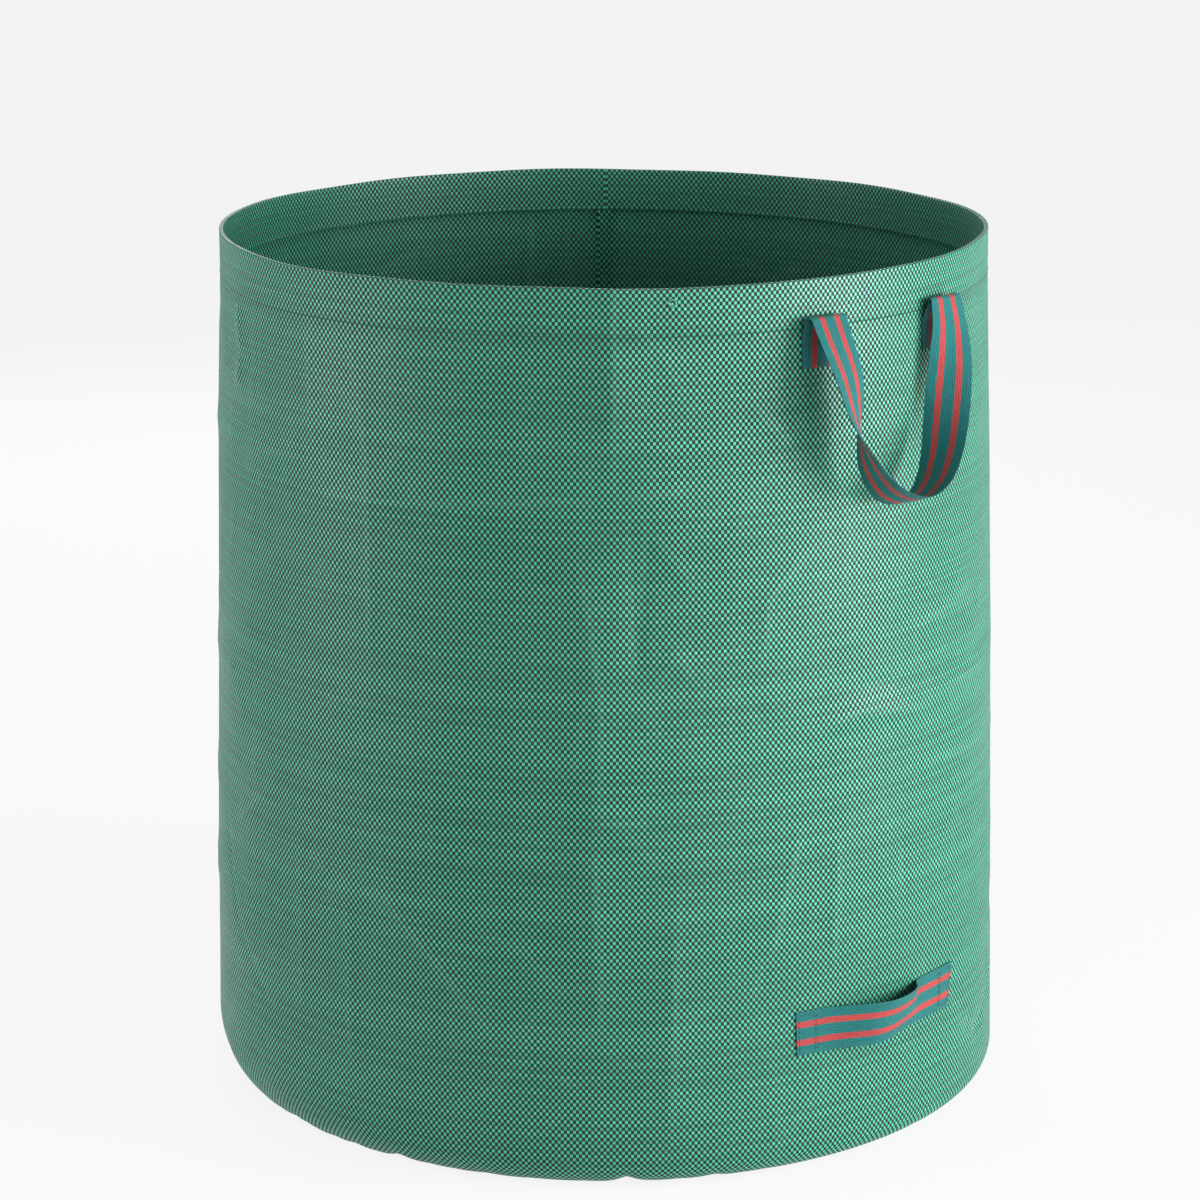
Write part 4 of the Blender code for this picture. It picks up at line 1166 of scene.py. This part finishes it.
upper_handle("right", 0.0)
upper_handle("left", 180.0)


# Lower straps
# The same webbing, sewn flat across the wall near the foot at both ends. The slack middle stands
# off the wall, leans out at its top edge, and folds back sharply onto the wall near one end.
LOWER_FOOT = 0.1055
LOWER_BOX = (0.0025, 0.0030)
# The second line of stitches across each end, as a share of its box's length.
SECOND_LINES = (0.86, 0.14)
# Along the strap: beside its middle at the top edge, how far off the wall there, and the same at
# the bottom edge.
STRAP_ROUTE = [
    (-0.0960, 0.0, -0.0956, 0.0),
    (-0.0860, 0.0, -0.0855, 0.0),
    (-0.0750, 0.0, -0.0740, 0.0),
    (-0.0640, 0.0014, -0.0625, 0.0010),
    (-0.0530, 0.0060, -0.0515, 0.0038),
    (-0.0400, 0.0117, -0.0395, 0.0084),
    (-0.0270, 0.0173, -0.0275, 0.0121),
    (-0.0130, 0.0206, -0.0150, 0.0117),
    (0.0000, 0.0200, -0.0020, 0.0090),
    (0.0110, 0.0178, 0.0100, 0.0050),
    (0.0200, 0.0150, 0.0200, 0.0022),
    (0.0270, 0.0112, 0.0280, 0.0008),
    (0.0320, 0.0060, 0.0345, 0.0002),
    (0.0370, 0.0015, 0.0405, 0.0),
    (0.0440, 0.0, 0.0470, 0.0),
    (0.0560, 0.0, 0.0570, 0.0),
    (0.0700, 0.0, 0.0690, 0.0),
    (0.0830, 0.0, 0.0790, 0.0),
    (0.0950, 0.0, 0.0880, 0.0),
]


def lower_handle(side, turn):
    """One whole lower strap with its two sewn ends, on the side that turn gives."""
    route = smooth_rows(STRAP_ROUTE, ROUTE_STEPS)
    share = np.linspace(0, 1, STRAP_COLUMNS)
    along = route[:, 0:1] * share + route[:, 2:3] * (1 - share)
    off = np.maximum(route[:, 1:2] * share + route[:, 3:4] * (1 - share), 0)
    height = LOWER_FOOT + WEBBING_WIDTH * share + 0 * along
    grid = turned(np.stack([wall_x(along, height, turn) + STRAP_GAP + off, along, height], axis=-1),
                  turn)
    runs = distances(grid[:, STRAP_COLUMNS // 2])
    made = webbing_piece(f"{side}_lower_strap_webbing", grid, runs, flipped=True)
    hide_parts(f"{side}_lower_loop", f"{side}_lower_end_front", f"{side}_lower_end_back")
    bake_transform(made)
    facing = ("front", "back") if turn == 0 else ("back", "front")
    starts = (LOWER_BOX[0], runs[-1] - TAB_LENGTH - LOWER_BOX[0])
    for end, start, line in zip(facing, starts, SECOND_LINES):
        box = sewn_box(f"{side}_lower_stitches_{end}", grid, runs, start, LOWER_BOX[1], (line,))
        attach(box, "lower_straps")
        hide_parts(f"{side}_lower_thread_{end}")


lower_handle("right", 0.0)
lower_handle("left", 180.0)


# Floor and light
# A plain pale floor that keeps the bag's shadow, under five soft lamps: the main one in front of
# the right-hand handles, the others weaker, round the bag and above it. The floor and the world
# are seen as white, but only a little of that white falls on the bag.
FLOOR_SIZE = 60.0
FLOOR_DROP = 0.0005
LAMP_DISTANCE = 3.2
LAMP_AIM = 0.40
# Name, degrees round the bag, degrees up, size in metres, power in watts.
LAMPS = [("main_lamp", 30, 8, 1.6, 118), ("front_lamp", -8, 5, 1.6, 38),
         ("left_lamp", -118, 6, 1.8, 48), ("top_lamp", -50, 50, 1.6, 14),
         ("back_lamp", 150, 24, 1.8, 26)]

mesh = bpy.data.meshes.new("studio_floor")
half = FLOOR_SIZE / 2
mesh.from_pydata([(x, y, -FLOOR_DROP) for x, y in ((-half, -half), (half, -half), (half, half),
                                                   (-half, half))], [], [(0, 1, 2, 3)])
floor = put_in_scene("studio_floor", mesh)
paper, paper_shader = new_finish("matt_white_paper")
feed(paper, paper_shader, {"Base Color": linear("#F2F2F2"), "Roughness": 0.9})


def seen_share(finish, unseen, seen):
    """One value for what is seen, straight, mirrored or through something clear, and one for
    the light that falls on things."""
    path = add_node(finish, "LightPath")
    either = path["Is Camera Ray"]
    for ray in ("Is Glossy Ray", "Is Transmission Ray"):
        either = add_node(finish, "Math", [either, path[ray]], operation="MAXIMUM")[0]
    return add_node(finish, "MapRange", {"Value": either, "To Min": unseen, "To Max": seen})[0]


glow = add_node(paper, "Emission", {"Color": (1, 1, 1, 1), "Strength": 1.0})[0]
mixed = add_node(paper, "MixShader", [seen_share(paper, 0.0, 0.86), paper_shader.outputs[0], glow])
feed(paper, paper.node_tree.nodes["Material Output"], {"Surface": mixed[0]})
floor.data.materials.append(paper)


def soft_lamp(name, azimuth, elevation, size, power):
    """A square soft lamp, aimed at the middle of the bag."""
    made = put_in_scene(name, bpy.data.lights.new(name, "AREA"))
    made.data.shape = "SQUARE"
    made.data.size = size
    made.data.energy = power
    made.visible_camera = False
    turn, lift = math.radians(azimuth), math.radians(elevation)
    way = Vector((math.cos(turn) * math.cos(lift), math.sin(turn) * math.cos(lift), math.sin(lift)))
    made.location = Vector((0, 0, LAMP_AIM)) + way * LAMP_DISTANCE
    made.rotation_euler = way.to_track_quat("Z", "Y").to_euler()


for lamp in LAMPS:
    soft_lamp(*lamp)

world = bpy.data.worlds.new("studio")
bpy.context.scene.world = world
world.use_nodes = True
feed(world, world.node_tree.nodes["Background"],
     {"Color": (1, 1, 1, 1), "Strength": seen_share(world, 0.16, 1.0)})
bpy.context.scene.view_settings.view_transform = "Standard"
